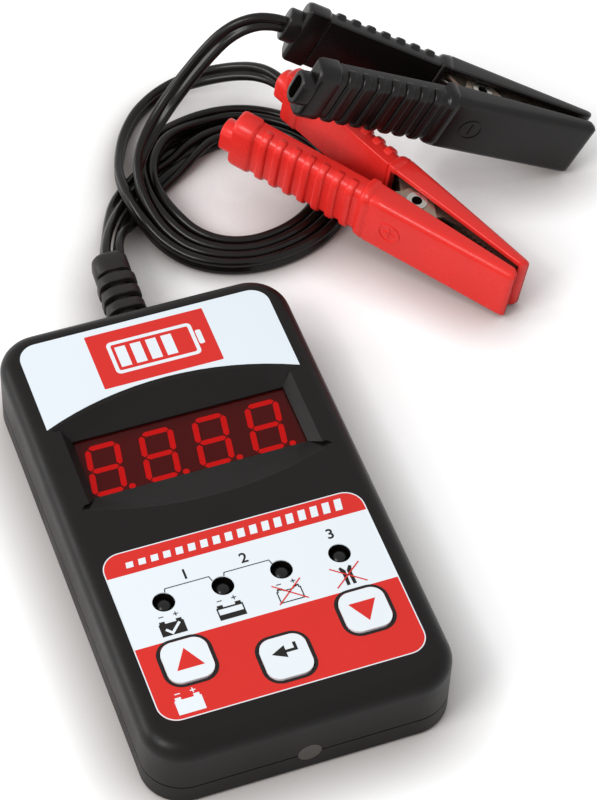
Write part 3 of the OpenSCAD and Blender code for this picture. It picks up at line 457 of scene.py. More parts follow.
def shown(name, data):
    """An object with that data in the scene."""
    item = bpy.data.objects.new(name, data)
    bpy.context.scene.collection.objects.link(item)
    return item


def piece(name, mesh, material, body=TESTER, stands_for=(), sharp=35):
    """An object at the origin, smooth but for sharp edges, that rides on a body if one is given."""
    mesh.materials.clear()
    mesh.materials.append(material)
    mesh.polygons.foreach_set("use_smooth", [True] * len(mesh.polygons))
    mesh.set_sharp_from_angle(angle=math.radians(sharp))
    mesh.name = name
    item = shown(name, mesh)
    if body:
        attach(item, body)
    if stands_for:
        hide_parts(*stands_for)
    return item


def mesh_of(points, faces):
    mesh = bpy.data.meshes.new("mesh")
    mesh.from_pydata([tuple(map(float, p)) for p in points], [], [list(map(int, f)) for f in faces])
    mesh.validate()
    return mesh


def merged(*meshes, weld=0.0, turn_out=False):
    """One mesh with the faces of several, its close points welded or its faces turned outwards."""
    work = bmesh.new()
    for mesh in meshes:
        work.from_mesh(mesh)
    if weld:
        bmesh.ops.remove_doubles(work, verts=work.verts, dist=weld)
    if turn_out:
        bmesh.ops.recalc_face_normals(work, faces=work.faces)
    whole = bpy.data.meshes.new("mesh")
    work.to_mesh(whole)
    work.free()
    return whole


def loft(rings):
    """A closed skin through rings of equally many points."""
    n, last = len(rings[0]), len(rings) - 1
    faces = [
        (i * n + k, i * n + (k + 1) % n, (i + 1) * n + (k + 1) % n, (i + 1) * n + k)
        for i in range(last) for k in range(n)
    ]
    faces += [tuple(range(n - 1, -1, -1)), tuple(last * n + k for k in range(n))]
    return merged(mesh_of([p for ring in rings for p in ring], faces), turn_out=True)


def placed(mesh, matrix):
    """The mesh in its place, turned the right way out again where the matrix mirrors it."""
    mesh.transform(matrix)
    if matrix.determinant() < 0:
        mesh.flip_normals()
    return mesh


def with_modifier(mesh, kind, **values):
    """The mesh after one modifier."""
    item = shown("work", mesh)
    modifier = item.modifiers.new("work", kind)
    for name, value in values.items():
        setattr(modifier, name, value)
    return taken(item)


def taken(item):
    """The evaluated mesh of an object, which is then removed."""
    ready = item.evaluated_get(bpy.context.evaluated_depsgraph_get())
    mesh = bpy.data.meshes.new_from_object(ready)
    bpy.data.objects.remove(item)
    return mesh


def cut(mesh, *cutters):
    """The mesh with each cutter's solid taken out of it."""
    for cutter in cutters:
        tool = shown("cutter", cutter)
        mesh = with_modifier(mesh, "BOOLEAN", object=tool, operation="DIFFERENCE", solver="EXACT")
        bpy.data.objects.remove(tool)
    return mesh


def rounded_bar(sections, middle=0.0):
    """A bar along X of rounded rectangles, each its distance, width, height and radius."""
    return loft([
        [(x, y, z) for z, y in rounded_rectangle((0, middle), width, height, radius)]
        for x, width, height, radius in sections])


def block(low, high):
    """A box between two corners, for cutting with."""
    x, y, z = zip(low, high)
    return loft([[(x[i], y[0], z[0]), (x[i], y[1], z[0]), (x[i], y[1], z[1]), (x[i], y[0], z[1])]
                 for i in (0, 1)])


# Flat outlines, in millimetres on a printed face

def arc(centre, radius, start, end, steps=8):
    turn = [math.radians(start + (end - start) * i / steps) for i in range(steps + 1)]
    return [(centre[0] + radius * math.cos(a), centre[1] + radius * math.sin(a)) for a in turn]


def rounded_rectangle(centre, width, height, radius, steps=8):
    x, y = width / 2 - radius, height / 2 - radius
    points = []
    for start, sx, sy in ((0, 1, 1), (90, -1, 1), (180, -1, -1), (270, 1, -1)):
        points += arc((centre[0] + sx * x, centre[1] + sy * y), radius, start, start + 90, steps)
    return points


def stroke(points, width):
    """The outline of a line of that width through some points."""
    p = np.array(points, float)
    step = np.diff(p, axis=0)
    step /= np.linalg.norm(step, axis=1)[:, None]
    side = np.stack([-step[:, 1], step[:, 0]], 1)
    corner = np.vstack([side[:1], side[:-1] + side[1:], side[-1:]])
    corner /= (corner ** 2).sum(1)[:, None]
    corner[1:-1] *= 2
    corner *= width / 2
    return [tuple(q) for q in (p + corner)] + [tuple(q) for q in (p - corner)[::-1]]


def moved(outline, centre):
    return [(x + centre[0], y + centre[1]) for x, y in outline]


def layer(shapes, low, high):
    """Thin closed plates. A shape is an outline, or a list of an outline and its holes."""
    points, faces = [], []
    for shape in shapes:
        loops = [shape] if isinstance(shape[0][0], (int, float)) else list(shape)
        flat = [Vector((x * MM, y * MM, 0)) for loop in loops for x, y in loop]
        ends = np.cumsum([0] + [len(loop) for loop in loops])
        base, n = len(points), len(flat)
        points += [(p.x, p.y, low) for p in flat] + [(p.x, p.y, high) for p in flat]
        for a, b, c in tessellate_polygon([flat[i:j] for i, j in zip(ends, ends[1:])]):
            faces += [(base + n + a, base + n + b, base + n + c), (base + c, base + b, base + a)]
        for i, j in zip(ends, ends[1:]):
            for k in range(i, j):
                follow = k + 1 if k + 1 < j else i
                faces.append((base + k, base + follow, base + n + follow, base + n + k))
    return merged(mesh_of(points, faces), turn_out=True)


def frame_of(centre, outer, inner):
    """A rounded frame between two rectangles, each its width, height and radius."""
    return [rounded_rectangle(centre, *outer), rounded_rectangle(centre, *inner)]


def plan(node):
    """The centre and the size of a solid seen from above, in millimetres."""
    low, high = (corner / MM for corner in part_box(node))
    return ((low.x + high.x) / 2, (low.y + high.y) / 2), (high.x - low.x, high.y - low.y)


def printed(name, shapes, material, body=TESTER, on_key=False, over=0):
    """Shapes printed on a film's top face, over other layers of print where said."""
    values = settings("printing")
    low = (values.key_top if on_key else values.top) + over * values.ink
    return piece(name, layer(shapes, low, low + values.ink), made("ink_" + material, ink), body)


# Geometry nodes

def node_tree(name, **inputs):
    """An empty geometry tree with inputs named by their kinds, and the sockets that give them."""
    tree = bpy.data.node_groups.new(name, "GeometryNodeTree")
    tree.interface.new_socket("Geometry", in_out="OUTPUT", socket_type="NodeSocketGeometry")
    for kind, labels in inputs.items():
        for label in labels:
            tree.interface.new_socket(label, in_out="INPUT", socket_type="NodeSocket" + kind)
    return tree, tree.nodes.new("NodeGroupInput").outputs


def grown(tree, values):
    """The mesh that a tree makes from values for its named inputs."""
    item = shown("work", bpy.data.meshes.new("work"))
    modifier = item.modifiers.new("work", "NODES")
    modifier.node_group = tree
    for socket in tree.interface.items_tree:
        if socket.in_out == "INPUT":
            modifier[socket.identifier] = values[socket.name]
    return taken(item)


def row(tree, given, single, **inputs):
    """Real copies of one mesh, a pitch apart along X."""
    step = add(tree, "ShaderNodeCombineXYZ", {"X": given["Pitch"]})
    points = add(tree, "GeometryNodeMeshLine", {"Count": given["Count"], "Offset": step})
    copies = add(tree, "GeometryNodeInstanceOnPoints", {
        "Points": points, "Instance": single, **inputs})
    return add(tree, "GeometryNodeRealizeInstances", {"Geometry": copies})


def painted(tree, given, geometry):
    """The tree, ended by its material and its output."""
    paint = add(tree, "GeometryNodeSetMaterial", {
        "Geometry": geometry, "Material": given["Material"]})
    add(tree, "NodeGroupOutput", {"Geometry": paint})
    return tree


def banded_tree():
    """Bands around a bar of rounded rectangular section: rounded rings in a row along X."""
    tree, given = node_tree("bands", Int=["Count"], Material=["Material"], Float=[
        "Pitch", "Width", "Height", "Corner", "Band length", "Band height", "Band corner"])
    path, profile = (
        add(tree, "GeometryNodeFilletCurve", {
            "Curve": add(tree, "GeometryNodeCurvePrimitiveQuadrilateral", {
                "Width": given[width], "Height": given[height]}),
            "Radius": given[corner], "Count": steps}, mode="POLY")
        for width, height, corner, steps in (
            ("Width", "Height", "Corner", 10), ("Band height", "Band length", "Band corner", 6)))
    ring = add(tree, "GeometryNodeCurveToMesh", {"Curve": path, "Profile Curve": profile})
    upright = add(tree, "GeometryNodeTransform", {
        "Geometry": ring, "Rotation": (0, -math.pi / 2, 0)})
    return painted(tree, given, row(tree, given, upright))


def bar_tree():
    """A row of upright bars on a flat print, each a little taller than the last and slanted."""
    tree, given = node_tree("bars", Int=["Count"], Material=["Material"], Float=[
        "Pitch", "Width", "First height", "Last height", "Thickness", "Slant"])
    bar = add(tree, "GeometryNodeMeshCube", {"Size": add(tree, "ShaderNodeCombineXYZ", {
        "X": given["Width"], "Y": 1.0, "Z": given["Thickness"]})})
    standing = add(tree, "GeometryNodeTransform", {"Geometry": bar, "Translation": (0, 0.5, 0)})
    last = add(tree, "ShaderNodeMath", {0: given["Count"], 1: 1.0}, operation="SUBTRACT")
    height = add(tree, "ShaderNodeMapRange", {
        "Value": add(tree, "GeometryNodeInputIndex"), "From Max": last,
        "To Min": given["First height"], "To Max": given["Last height"]})
    stretch = add(tree, "ShaderNodeCombineXYZ", {"X": 1.0, "Y": height, "Z": 1.0})
    bars = row(tree, given, standing, Scale=stretch)
    up = add(tree, "ShaderNodeSeparateXYZ", {"Vector": add(tree, "GeometryNodeInputPosition")})
    over = add(tree, "ShaderNodeMath", {
        0: up.outputs["Y"], 1: given["Slant"]}, operation="MULTIPLY")
    aside = add(tree, "ShaderNodeCombineXYZ", {"X": over})
    leant = add(tree, "GeometryNodeSetPosition", {"Geometry": bars, "Offset": aside})
    return painted(tree, given, leant)


# Leads

def smooth_route(route, parts=8):
    """Points and rolls along a curve through the route's points, in metres and radians."""
    p = np.array([(*point, *ON_EDGE[len(point) - 2:]) for point in route], float)
    p *= (MM, MM, MM, math.pi / 180)
    ends = np.vstack([p[:1], p, p[-1:]])
    t = (np.arange(parts) / parts)[:, None]
    spans = [
        0.5 * (2 * b + (c - a) * t + (2 * a - 5 * b + 4 * c - d) * t ** 2
               + (3 * b - a - 3 * c + d) * t ** 3)
        for a, b, c, d in zip(ends, ends[1:], ends[2:], ends[3:])
    ]
    return np.vstack([*spans, p[-1:]])


def twin_section(width, core, waist):
    """Outline of a twin cord's section: two round cores joined by a web, as offsets across it."""
    radius, centre = core / 2, (width - core) / 2
    lobe = [(centre + x, y) for x, y in arc((0, 0), radius, -140, 140, 14)]
    return lobe + [(0, waist / 2)] + [(-x, -y) for x, y in lobe] + [(0, -waist / 2)]


def lead_mesh(line):
    """A twin cord's skin along a line of points and rolls."""
    values = settings("leads")
    points = line[:, :3]
    along = np.gradient(points, axis=0)
    along /= np.linalg.norm(along, axis=1)[:, None]
    flat = np.cross(along, (0, 0, 1))
    flat /= np.linalg.norm(flat, axis=1)[:, None]
    rise = np.cross(flat, along)
    outline = twin_section(values.width, values.core, values.waist)
    rings = []
    for place, side, up, roll in zip(points, flat, rise, line[:, 3]):
        across = side * math.cos(roll) + up * math.sin(roll)
        through = up * math.cos(roll) - side * math.sin(roll)
        rings.append([place + across * x + through * y for x, y in outline])
    return loft(rings)


class TESTER_OT_leads(bpy.types.Operator):
    """Make the two twin-core leads along their routes"""

    bl_idname = "tester.leads"
    bl_label = "Leads"

    def execute(self, context):
        for name in COLOURS:
            skin = lead_mesh(smooth_route(LEAD_ROUTES[name]))
            piece(name + "_twin_lead", skin, made("extruded_pvc", lead_pvc),
                  stands_for=[name + "_lead"], sharp=50)
        return {"FINISHED"}


# Clamps

def clamp_matrix(name, rear):
    """From a lever's own frame to its place: x runs along it from the tip, y out of its face."""
    values = settings("clamps")
    x, y, z, yaw, pitch, roll = CLAMP_PLACES[name]
    half = values.lever_angle / 2
    rivet_n = values.tip_w / 2 + values.rivet_s * math.tan(half)
    clamp = Matrix.Translation(Vector((x, y, z)) * MM)
    for angle, axis in ((yaw, "Z"), (-pitch, "Y"), (-roll, "X")):
        clamp @= Matrix.Rotation(math.radians(angle), 4, axis)
    clamp @= Matrix.Translation((values.rivet_s, -rivet_n, values.lever_w / 2))
    clamp @= Matrix.Rotation(-half, 4, "Z")
    if rear:
        clamp @= Matrix.Diagonal((1, -1, 1, 1))
    return clamp @ Matrix.Rotation(half, 4, "Z") @ Matrix.Translation((-values.rivet_s, rivet_n, 0))


def bar_section(width, depth, outer, inner, inset=0.0, steps=6):
    """Section of a cover, [y, z]: its outer face on y = 0, with outer and inner corner radii."""
    w, top, low = width / 2 - inset, -inset, -depth + inset
    points = []
    for y, sy, sz, radius, start in ((top, -1, 1, outer, 0), (low, 1, 1, inner, 90),
                                     (low, 1, -1, inner, 180), (top, -1, -1, outer, 270)):
        points += arc((y + sy * radius, sz * (w - radius)), radius, start, start + 90, steps)
    return points


def cover_rings(values):
    """Stations along a cover: jaw cover, raised collar, core under the ribs and end block."""
    jaw_l, end, jaw_r, grip_r = values.jaw_l, values.lever_l, values.jaw_r, values.grip_r
    slope = (values.jaw_root_d - values.jaw_tip_d) / jaw_l
    # Each is a distance from the tip, the depth of the sides, an inset and the edges' radius
    rings = [(x * MM, depth * MM, inset * MM, share * jaw_r) for x, depth, inset, share in (
        (0, 2.2, 0.9, 0.6), (0.35, 2.6, 0.35, 0.8), (1.0, 3.0, 0.08, 0.95))]
    rings += [(x, values.jaw_tip_d + slope * x, 0, jaw_r)
              for x in np.linspace(1.6 * MM, jaw_l - 1.5 * MM, 11)]
    first = jaw_l + values.collar_l
    last = first + values.ribs * values.rib_pitch + values.slot_w
    middle, proud, core = (jaw_r + grip_r) / 2, -0.25 * MM, values.rib_h
    rings += [
        (jaw_l - 1.2 * MM, values.jaw_root_d, 0, middle),
        (jaw_l - 0.8 * MM, values.jaw_root_d, proud, middle),
        (jaw_l + 0.9 * MM, values.grip_d + 0.2 * MM, proud, grip_r)]
    rings += [(x, values.grip_d, inset, grip_r) for x, inset in (
        (first - 0.3 * MM, 0), (first - 0.02 * MM, core * 0.6), (first + 0.2 * MM, core),
        (last - 0.2 * MM, core), (last + 0.02 * MM, core * 0.6), (last + 0.4 * MM, 0.1 * MM),
        (last + 0.8 * MM, 0), (end - 1.1 * MM, 0), (end - 0.4 * MM, 0.2 * MM),
        (end - 0.08 * MM, 0.55 * MM), (end, 1.0 * MM))]
    sections = (
        (x, bar_section(values.lever_w, depth + (inset if first < x < last else 0),
                        max(radius - inset, 0.4 * MM), 0.5 * MM, inset))
        for x, depth, inset, radius in rings)
    return [[(x, y, z) for y, z in section] for x, section in sections]


def cover_mesh(values, hollow):
    """A lever's insulating cover: an open channel over the jaw and a closed grip behind it. Its
    end is a flattened tube, which is open where no lead fills it."""
    end, middle = values.lever_l, -values.grip_d / 2
    tip = end + values.boss_l
    cavity = values.lever_w / 2 - values.wall
    handle = values.grip_d - 2 * values.wall
    deep = values.jaw_root_d + 2 * MM
    jaw = block((1.4 * MM, -deep, -cavity), (values.jaw_l, -values.wall, cavity))
    grip = rounded_bar([(x, 2 * cavity, handle, handle / 2 * 0.99)
                        for x in (values.jaw_l - 2 * MM, end - 7 * MM)], middle)
    boss = rounded_bar([
        (x, 9 * MM - 2 * inset, values.grip_d - 0.2 * MM - 2 * inset, 2.7 * MM - inset)
        for x, inset in ((end - 1.2 * MM, 0), (tip - 0.5 * MM, 0), (tip - 0.15 * MM, 0.15 * MM),
                         (tip, 0.45 * MM))], middle)
    shell = cut(loft(cover_rings(values)), jaw, grip)
    if hollow:
        bore = rounded_bar([(x, 6.4 * MM, values.grip_d - 2.6 * MM, 1.6 * MM)
                            for x in (end - 8 * MM, tip + MM)], middle)
        shell, boss = cut(shell, bore.copy()), cut(boss, bore)
    shell = with_modifier(shell, "BEVEL", width=0.28 * MM, segments=3, limit_method="ANGLE",
                          angle_limit=math.radians(62), harden_normals=False)
    return merged(shell, boss)


def mark_mesh(values, plus):
    """A ringed plus or minus in low relief on the jaw cover's outer face."""
    ring = [arc((0, 0), radius, 0, 345, 23) for radius in (3.05, 2.65)]
    shapes = [ring, rounded_rectangle((0, 0), 0.45, 3.3, 0.2, 3)]
    if plus:
        shapes.append(rounded_rectangle((0, 0), 3.3, 0.45, 0.2, 3))
    mesh = layer(shapes, -0.1 * MM, 0.2 * MM)
    flat = Matrix.Rotation(-math.pi / 2, 4, "X")
    return placed(mesh, Matrix.Translation((values.jaw_l - 8 * MM, 0, 0)) @ flat)


class TESTER_OT_clamps(bpy.types.Operator):
    """Make the four insulating covers with their ribs and signs"""

    bl_idname = "tester.clamps"
    bl_label = "Clamp covers"

    def execute(self, context):
        values = settings("clamps")
        tree = banded_tree()
        for name in COLOURS:
            skin = made("moulded_pvc_" + name, dipped_pvc)
            rise, long = values.rib_h, values.rib_pitch - values.slot_w
            deep = values.grip_d - 2 * rise - 0.7 * MM
            bands = grown(tree, {
                "Count": values.ribs, "Pitch": values.rib_pitch,
                "Width": values.lever_w - 2 * rise, "Height": deep,
                "Corner": values.grip_r - rise, "Band length": long, "Band height": 2 * rise,
                "Band corner": rise * 0.92, "Material": skin})
            bands.transform(Matrix.Translation((
                values.jaw_l + values.collar_l + values.slot_w + long / 2, -rise - deep / 2, 0)))
            for side, rear in (("front", False), ("rear", True)):
                body = TESTER if rear else name + "_clamp_front"
                place, slot = clamp_matrix(name, rear), "cover_" + name
                mark = mark_mesh(values, plus=name == "red")
                shell = merged(cover_mesh(values, hollow=not rear), mark)
                piece(f"{name}_{side}_grip_cover", placed(shell, place), skin, body,
                      [f"{name}_{side}_cover"], sharp=45)
                piece(f"{name}_{side}_grip_ribs", placed(bands.copy(), place), skin, body,
                      sharp=60)
            self.spring(name, values)
        return {"FINISHED"}

    @staticmethod
    def spring(name, values):
        """The spring: the solid's own coil around the rivet, its close points welded, in spring
        wire.
        """
        reach = clamp_matrix(name, False).to_3x3() @ Vector((0, 0, values.spring_h / 2))
        wire = merged(NODES[name + "_spring"].data, weld=0.001 * MM)
        coil = piece(name + "_clamp_spring", wire, made("spring_wire", spring_wire), None,
                     stands_for=[name + "_spring"], sharp=50)
        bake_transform(coil)


# Strain relief

class TESTER_OT_strain_relief(bpy.types.Operator):
    """Make the strain relief: ribs joined by two side spines, with a collar and a neck"""

    bl_idname = "tester.strain_relief"
    bl_label = "Strain relief"

    def execute(self, context):
        values = settings("boot")
        rubber = made("soft_pvc_boot", boot_rubber)
        inside, end = -values.wall, values.length
        collar = end - values.collar_l
        # The first rib begins a little less than half a pitch from the wall
        pitch = collar / (values.ribs + 0.45)
        deep, rise = values.width - 0.8 * MM, 1.8 * MM
        ribs = grown(banded_tree(), {
            "Count": values.ribs, "Pitch": pitch, "Width": values.width - rise,
            "Height": deep - rise, "Corner": deep * 0.36 - rise / 2, "Band length": values.rib_w,
            "Band height": rise, "Band corner": 0.4 * MM, "Material": rubber})
        ribs.transform(Matrix.Translation((collar - values.ribs * pitch + values.rib_w / 2, 0, 0)))
        base = [(x, values.width - less, deep - less, deep * round_off) for x, less, round_off in (
            (0, 0, 0.36), (0.7 * MM, 0, 0.36), (1 * MM, 0.6 * MM, 0.33))]
        spines = [(x, values.end_w, 3.4 * MM, 1.3 * MM) for x in (0, collar + 0.2 * MM)]
        tip = [(x, values.end_w - less, deep - 1.2 * MM - less, 3 * MM - less / 2) for x, less in (
            (collar, 0.4 * MM), (collar + 0.3 * MM, 0), (end - 1.4 * MM, 0),
            (end - 0.6 * MM, 0.4 * MM), (end - 0.15 * MM, 1.2 * MM), (end, 2 * MM))]
        # Round lengths: the core under the ribs, the neck in the wall and the flange behind it
        rounds = [[(x, thick, thick, thick / 2 * 0.999) for x in ends] for thick, ends in (
            (6.2 * MM, (inside - 2 * MM, collar + 0.2 * MM)),
            (values.width - 2 * MM, (inside - 0.1 * MM, 0.1 * MM)),
            (values.width + 0.6 * MM, (inside - 2 * MM, inside)))]
        boot = merged(ribs, *(rounded_bar(sections) for sections in (base, spines, tip, *rounds)))
        for corner in boot.vertices:
            corner.co.z += max(corner.co.x, 0) * math.tan(values.lean)
        turn = Matrix.Rotation(math.pi / 2, 4, "Z") @ Matrix.Rotation(math.pi / 2, 4, "X")
        boot.transform(Matrix.Translation((0, values.wall_y, values.axis_z)) @ turn)
        piece("strain_relief_boot", boot, rubber, stands_for=["strain_relief"],
              sharp=40)
        return {"FINISHED"}


# Print

def battery(centre, width, height):
    """Outline of a car battery seen from the front, with its two posts."""
    w, h, post, up = width / 2, height / 2, width * 0.22, height * 0.2
    outer, inner = w - 0.3, w - 0.3 - post
    right = [(w, -h), (w, h), (outer, h), (outer, h + up), (inner, h + up), (inner, h)]
    return moved(right + [(-x, y) for x, y in right[::-1]], centre)


def signs(centre, apart, arm, width):
    """A minus at the left and a plus at the right of a centre."""
    x, y = centre
    left, right = x - apart / 2, x + apart / 2
    return [stroke([(left - arm, y), (left + arm, y)], width),
            stroke([(right - arm, y), (right + arm, y)], width),
            stroke([(right, y - arm), (right, y - width / 2)], width),
            stroke([(right, y + width / 2), (right, y + arm)], width)]


def key_symbols():
    """The printed sign of each key: its ink and its shapes."""
    up, down = (-20.05, -38.2), (20.1, -38.2)
    return {
        "up": ("red", [moved([(-3.1, -2.1), (3.1, -2.1), (0, 3.1)], up)]),
        "down": ("red", [moved([(-3.1, 2.2), (0, -3.0), (3.1, 2.2)], down)]),
        "enter": ("black", [
            [(-2.9, -42.9), (0.3, -44.5), (0.3, -41.3)],
            [(0.2, -43.25), (2.95, -43.25), (2.95, -41.1), (2.25, -41.1), (2.25, -42.55),
             (0.2, -42.55)]]),
    }


def lamp_lines():
    """Thin lines that bracket the first and second, and the second and third lamp."""
    return [stroke([(a, -20.0), (a + 0.3, -19.1), (b - 0.4, -19.1), (b, -20.4)], 0.22)
            for a, b in ((-19.2, -8.5), (-5.7, 5.3))]


def lamp_signs():
    """Signs under the lamps, as shapes by ink: full, half and no battery, and loose clamps."""
    half, none = (-7.15, -29.3), (6.35, -29.3)
    white = [stroke([(-22.0, -29.3), (-20.8, -30.5), (-18.6, -28.2)], 0.6)]
    black = [
        battery((-20.4, -29.4), 5.6, 3.2),
        [battery(half, 6.0, 3.2),
         moved([(-2.7, -0.25), (2.7, -0.25), (2.7, 1.2), (-2.7, 1.2)], half)],
        [battery(none, 5.6, 3.2), battery(none, 5.1, 2.7)]]
    red = [stroke([(a, top), (b, low)], 0.3) for a, top, b, low in (
        (3.1, -25.9, 9.8, -31.2), (9.7, -25.7, 3.2, -31.1),
        (16.5, -25.7, 23.4, -31.0), (23.3, -25.6, 16.5, -31.0))]
    for s in (-1, 1):
        black.append(moved([(s * 0.15, 1.4), (s * 0.95, 2.6), (s * 1.5, 2.3), (s * 1.05, 0.6),
                            (s * 1.1, -2.4), (s * 0.35, -2.4)][::s], (19.9, -28.5)))
    for x in (-20.4, -7.2, 6.35):
        black += signs((x, -25.95), 3.3, 0.55, 0.22)
    return {"black": black, "paper": white, "red": red}


def numeral(number, centre, height=2.6):
    """A plain numeral printed above a lamp."""
    values, name = settings("printing"), f"lamp_numeral_{number}"
    curve = bpy.data.curves.new(name, "FONT")
    curve.body = str(number)
    curve.size = 1.4 * height * MM  # the font's size is 1.4 digits high
    curve.extrude = values.ink / 2
    curve.offset = 0.07 * MM
    curve.align_x, curve.align_y = "CENTER", "CENTER"
    place = (centre[0] * MM, centre[1] * MM, values.top + values.ink / 2)
    mesh = placed(taken(shown(name, curve)), Matrix.Translation(place))
    return piece(name, mesh, made("ink_black", ink))


def bars(name, count, start, pitch, width, heights, slant=0.0):
    """A row of white bars over the print of a film, in millimetres."""
    values, paint = settings("printing"), made("ink_paper", ink)
    mesh = grown(bar_tree(), {
        "Count": count, "Pitch": pitch * MM, "Width": width * MM, "First height": heights[0] * MM,
        "Last height": heights[1] * MM, "Thickness": values.ink, "Slant": slant, "Material": paint})
    place = (start[0] * MM, start[1] * MM, values.top + 1.5 * values.ink)
    return piece(name, placed(mesh, Matrix.Translation(place)), paint)


class TESTER_OT_keypad(bpy.types.Operator):
    """Print the keypad film and its keys"""

    bl_idname = "tester.keypad"
    bl_label = "Keypad print"

    def execute(self, context):
        middle, (width, height) = plan("keypad_film")
        edge = frame_of(middle, (width, height, 4.5), (width - 0.5, height - 0.5, 4.25))
        rims = []
        for name, (ink_name, shapes) in key_symbols().items():
            rims.append(frame_of(plan("key_" + name)[0], (12.3, 12.3, 4.0), (11.0, 11.0, 3.3)))
            printed(f"key_{name}_sign", shapes, ink_name, f"key_{name}_body", on_key=True)
        marks = lamp_signs()
        printed("keypad_edge", [edge], "paper")
        printed("key_rims", rims, "black", over=1)
        printed("lamp_lines", lamp_lines(), "black", over=1)
        printed("lamp_signs", marks["black"], "black", over=1)
        printed("lamp_ticks", marks["paper"], "paper", over=2)
        printed("lamp_crosses", marks["red"], "red", over=2)
        bars("header_bars", 18, (-24.2, -11.4), 2.85, 1.65, (1.5, 3.0), slant=0.15)
        white = [battery((-23.1, -48.9), 6.0, 3.6)] + signs((-23.2, -45.5), 3.4, 0.6, 0.25)
        printed("rating_sign", white, "paper", over=1)
        for i, x in enumerate((-13.6, -0.1, 20.0)):
            numeral(i + 1, (x, -16.9))
        return {"FINISHED"}


class TESTER_OT_label(bpy.types.Operator):
    """Print a plain battery gauge on the red panel of the upper label"""

    bl_idname = "tester.label"
    bl_label = "Label print"

    def execute(self, context):
        centre = (0, 45.6)
        panel = rounded_rectangle(centre, 28.6, 16.1, 0.25, 2)
        body = frame_of(centre, (20.5, 9.6, 1.2), (18.7, 7.8, 0.5))
        post = rounded_rectangle((11.2, 45.6), 1.3, 4.2, 0.4)
        printed("label_panel", [panel], "red")
        printed("label_gauge", [body, post], "paper", over=1)
        bars("label_gauge_bars", 4, (-7.35, 42.6), 3.7, 2.5, (6.0, 6.0))
        return {"FINISHED"}


class TESTER_OT_finishes(bpy.types.Operator):
    """Give every solid of the frame the finish of its real material"""

    bl_idname = "tester.finishes"
    bl_label = "Finishes"

    def execute(self, context):
        for maker, names in NODE_MATERIALS.items():
            for name in names:
                self.dress(name, made(maker.__name__, maker))
        for name in COLOURS:
            self.dress("inner_wires_" + name, made("wire_pvc_" + name, wire_pvc))
            for side in SIDES:
                self.dress(f"{name}_{side}_cover", made("moulded_pvc_" + name, dipped_pvc))
            self.dress(name + "_lead", made("extruded_pvc", lead_pvc))
        self.dress("strain_relief", made("soft_pvc_boot", boot_rubber))
        return {"FINISHED"}

    @staticmethod
    def dress(name, material):
        """Give a solid that material alone."""
        item = NODES[name]
        item.data.materials.clear()
        item.data.materials.append(material)


class TESTER_OT_declare_cords(bpy.types.Operator):
    """Work out each lead's points, the parts on it and its length, without passing them on"""

    bl_idname = "tester.declare_cords"
    bl_label = "Declare leads"

    def execute(self, context):
        values = settings("leads")
        for name in COLOURS:
            points = smooth_route(LEAD_ROUTES[name])[:, :3]
            on_it = [f"{name}_{side}_grip_{part}" for side in SIDES for part in ("cover", "ribs")]
            on_it += [f"{name}_{node}" for node in ("rear_lever", "front_lever", "rivet", "crimp")]
            on_it.append("strain_relief_boot")
            getattr(values, "length_" + name)
        return {"FINISHED"}


# Stage

class TESTER_OT_camera(bpy.types.Operator):
    """Place the camera above and before the left of the tester"""

    bl_idname = "tester.camera"
    bl_label = "Camera"

    def execute(self, context):
        data = bpy.data.cameras.new("camera")
        data.lens = settings("stage").lens
        data.clip_start, data.clip_end = 0.01, 20
        item = shown("camera", data)
        # Right, down and straight ahead in the picture
        right = Vector((0.93900, -0.34237, 0.03259))
        down = Vector((-0.24821, -0.74023, -0.62487))
        view = Vector((0.23806, 0.57866, -0.78005))
        turn = Matrix((right, -down, -view)).transposed()
        place = Vector((-132.54, -365.48, 540.61)) * MM
        item.matrix_world = Matrix.Translation(place) @ turn.to_4x4()
        context.scene.camera = item
        return {"FINISHED"}


def seen_directly(tree):
    """1 on rays from the camera, a mirror or through glass, and 0 on those that carry light."""
    path = add(tree, "ShaderNodeLightPath").outputs
    rays = add(tree, "ShaderNodeMath", {
        0: path["Is Camera Ray"], 1: path["Is Glossy Ray"]}, operation="MAXIMUM")
    return add(tree, "ShaderNodeMath", {
        0: rays, 1: path["Is Transmission Ray"]}, operation="MAXIMUM")


def white_floor(name):
    # Pale studio sweep: white to the camera where it is lit, and darker in the lamps' shadow. A
    # painted contact shadow also darkens its colour and its glow warmly where something stands on
    # it or hangs close over it.
    material, tree = blank(name)
    # Painted contact shadow: ambient occlusion within 16 mm darkens the floor's colour and dims its
    # glow
    near = add(tree, "ShaderNodeAmbientOcclusion", {"Distance": 16 * MM}).outputs["AO"]
    painted_shadow_mask = add(tree, "ShaderNodeMath", {0: near, 1: 2.6}, operation="POWER")
    shade = add(tree, "ShaderNodeMix", {
        "Factor": painted_shadow_mask, "A": (0.42, 0.38, 0.36, 1), "B": (0.8, 0.8, 0.8, 1)}, data_type="RGBA")
    cloth = add(tree, "ShaderNodeBsdfDiffuse", {"Color": shade.outputs["Result"]})
    bright = add(tree, "ShaderNodeMath", {0: painted_shadow_mask, 1: 0.42}, operation="MULTIPLY")
    glow = add(tree, "ShaderNodeEmission", {"Strength": bright})
    none = add(tree, "ShaderNodeEmission", {"Strength": 0.0})
    lit = add(tree, "ShaderNodeMixShader", {"Fac": seen_directly(tree), 1: none, 2: glow})
    total = add(tree, "ShaderNodeAddShader", {0: cloth, 1: lit})
    add(tree, "ShaderNodeOutputMaterial", {"Surface": total})
    return material


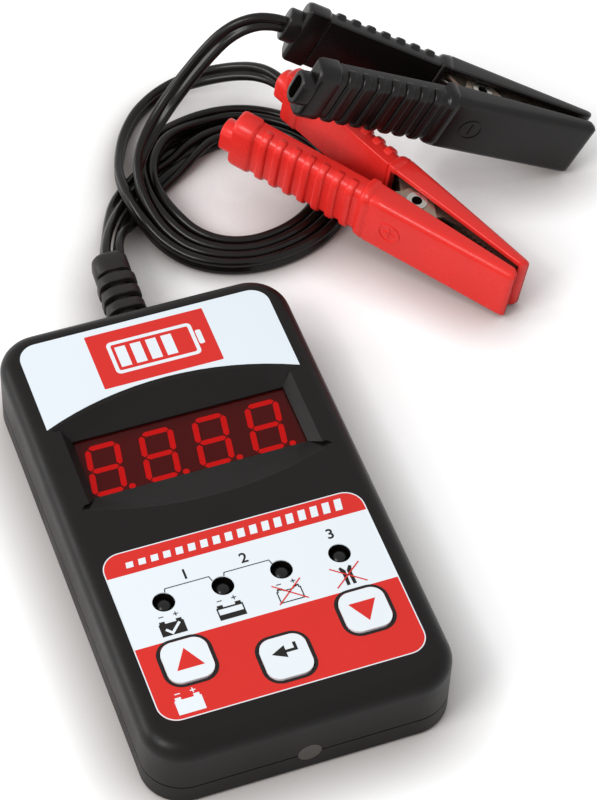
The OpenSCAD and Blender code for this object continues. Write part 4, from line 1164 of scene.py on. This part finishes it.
class TESTER_OT_stage(bpy.types.Operator):
    """Make the floor, the lamps and the surrounding light"""

    bl_idname = "tester.stage"
    bl_label = "Stage"

    def execute(self, context):
        values = settings("stage")
        half = values.floor
        corners = [(x, y, -0.05 * MM) for x, y in (
            (-half, -half), (half, -half), (half, half), (-half, half))]
        floor = shown("floor", mesh_of(corners, [(0, 1, 2, 3)]))
        floor.data.materials.append(made("studio_floor", white_floor))
        middle = Vector((0.03, 0.03, 0))
        for name, place, width, power in (
            ("key", (-0.8, -0.25, 0.8), 0.5, values.key_power),
            ("side", (-0.95, 0.5, 0.3), 0.4, values.side_power),
        ):
            data = bpy.data.lights.new(name, "AREA")
            data.shape, data.size, data.energy = "SQUARE", width, power
            lamp = shown(name, data)
            lamp.location = place
            lamp.rotation_euler = (middle - Vector(place)).to_track_quat("-Z", "Y").to_euler()
        world = bpy.data.worlds.new("studio")
        context.scene.world = world
        world.use_nodes = True
        tree = world.node_tree
        tree.nodes.clear()
        dim, white = (
            add(tree, "ShaderNodeBackground", {"Color": (1, 1, 1, 1), "Strength": strength})
            for strength in (values.world, 1.0))
        mixed = add(tree, "ShaderNodeMixShader", {"Fac": seen_directly(tree), 1: dim, 2: white})
        add(tree, "ShaderNodeOutputWorld", {"Surface": mixed})
        context.scene.view_settings.view_transform = "Standard"
        return {"FINISHED"}


STEPS = (
    TESTER_OT_camera, TESTER_OT_leads, TESTER_OT_strain_relief, TESTER_OT_clamps,
    TESTER_OT_declare_cords, TESTER_OT_keypad, TESTER_OT_label, TESTER_OT_finishes, TESTER_OT_stage,
)


class TESTER_PT_panel(bpy.types.Panel):
    """Lists the steps that dress the tester"""

    bl_idname = "TESTER_PT_panel"
    bl_label = "Battery tester"
    bl_space_type = "VIEW_3D"
    bl_region_type = "UI"
    bl_category = "Tester"

    def draw(self, context):
        for step in STEPS:
            self.layout.operator(step.bl_idname)


def register():
    for name, group in SETTINGS.items():
        bpy.utils.register_class(group)
        setattr(bpy.types.Scene, "tester_" + name, PointerProperty(type=group))
    for item in (*STEPS, TESTER_PT_panel):
        bpy.utils.register_class(item)


def unregister():
    for item in (TESTER_PT_panel, *STEPS):
        bpy.utils.unregister_class(item)
    for name, group in SETTINGS.items():
        delattr(bpy.types.Scene, "tester_" + name)
        bpy.utils.unregister_class(group)


def main():
    register()
    for step in STEPS:
        group, name = step.bl_idname.split(".")
        getattr(getattr(bpy.ops, group), name)()


if __name__ == "__main__":
    main()
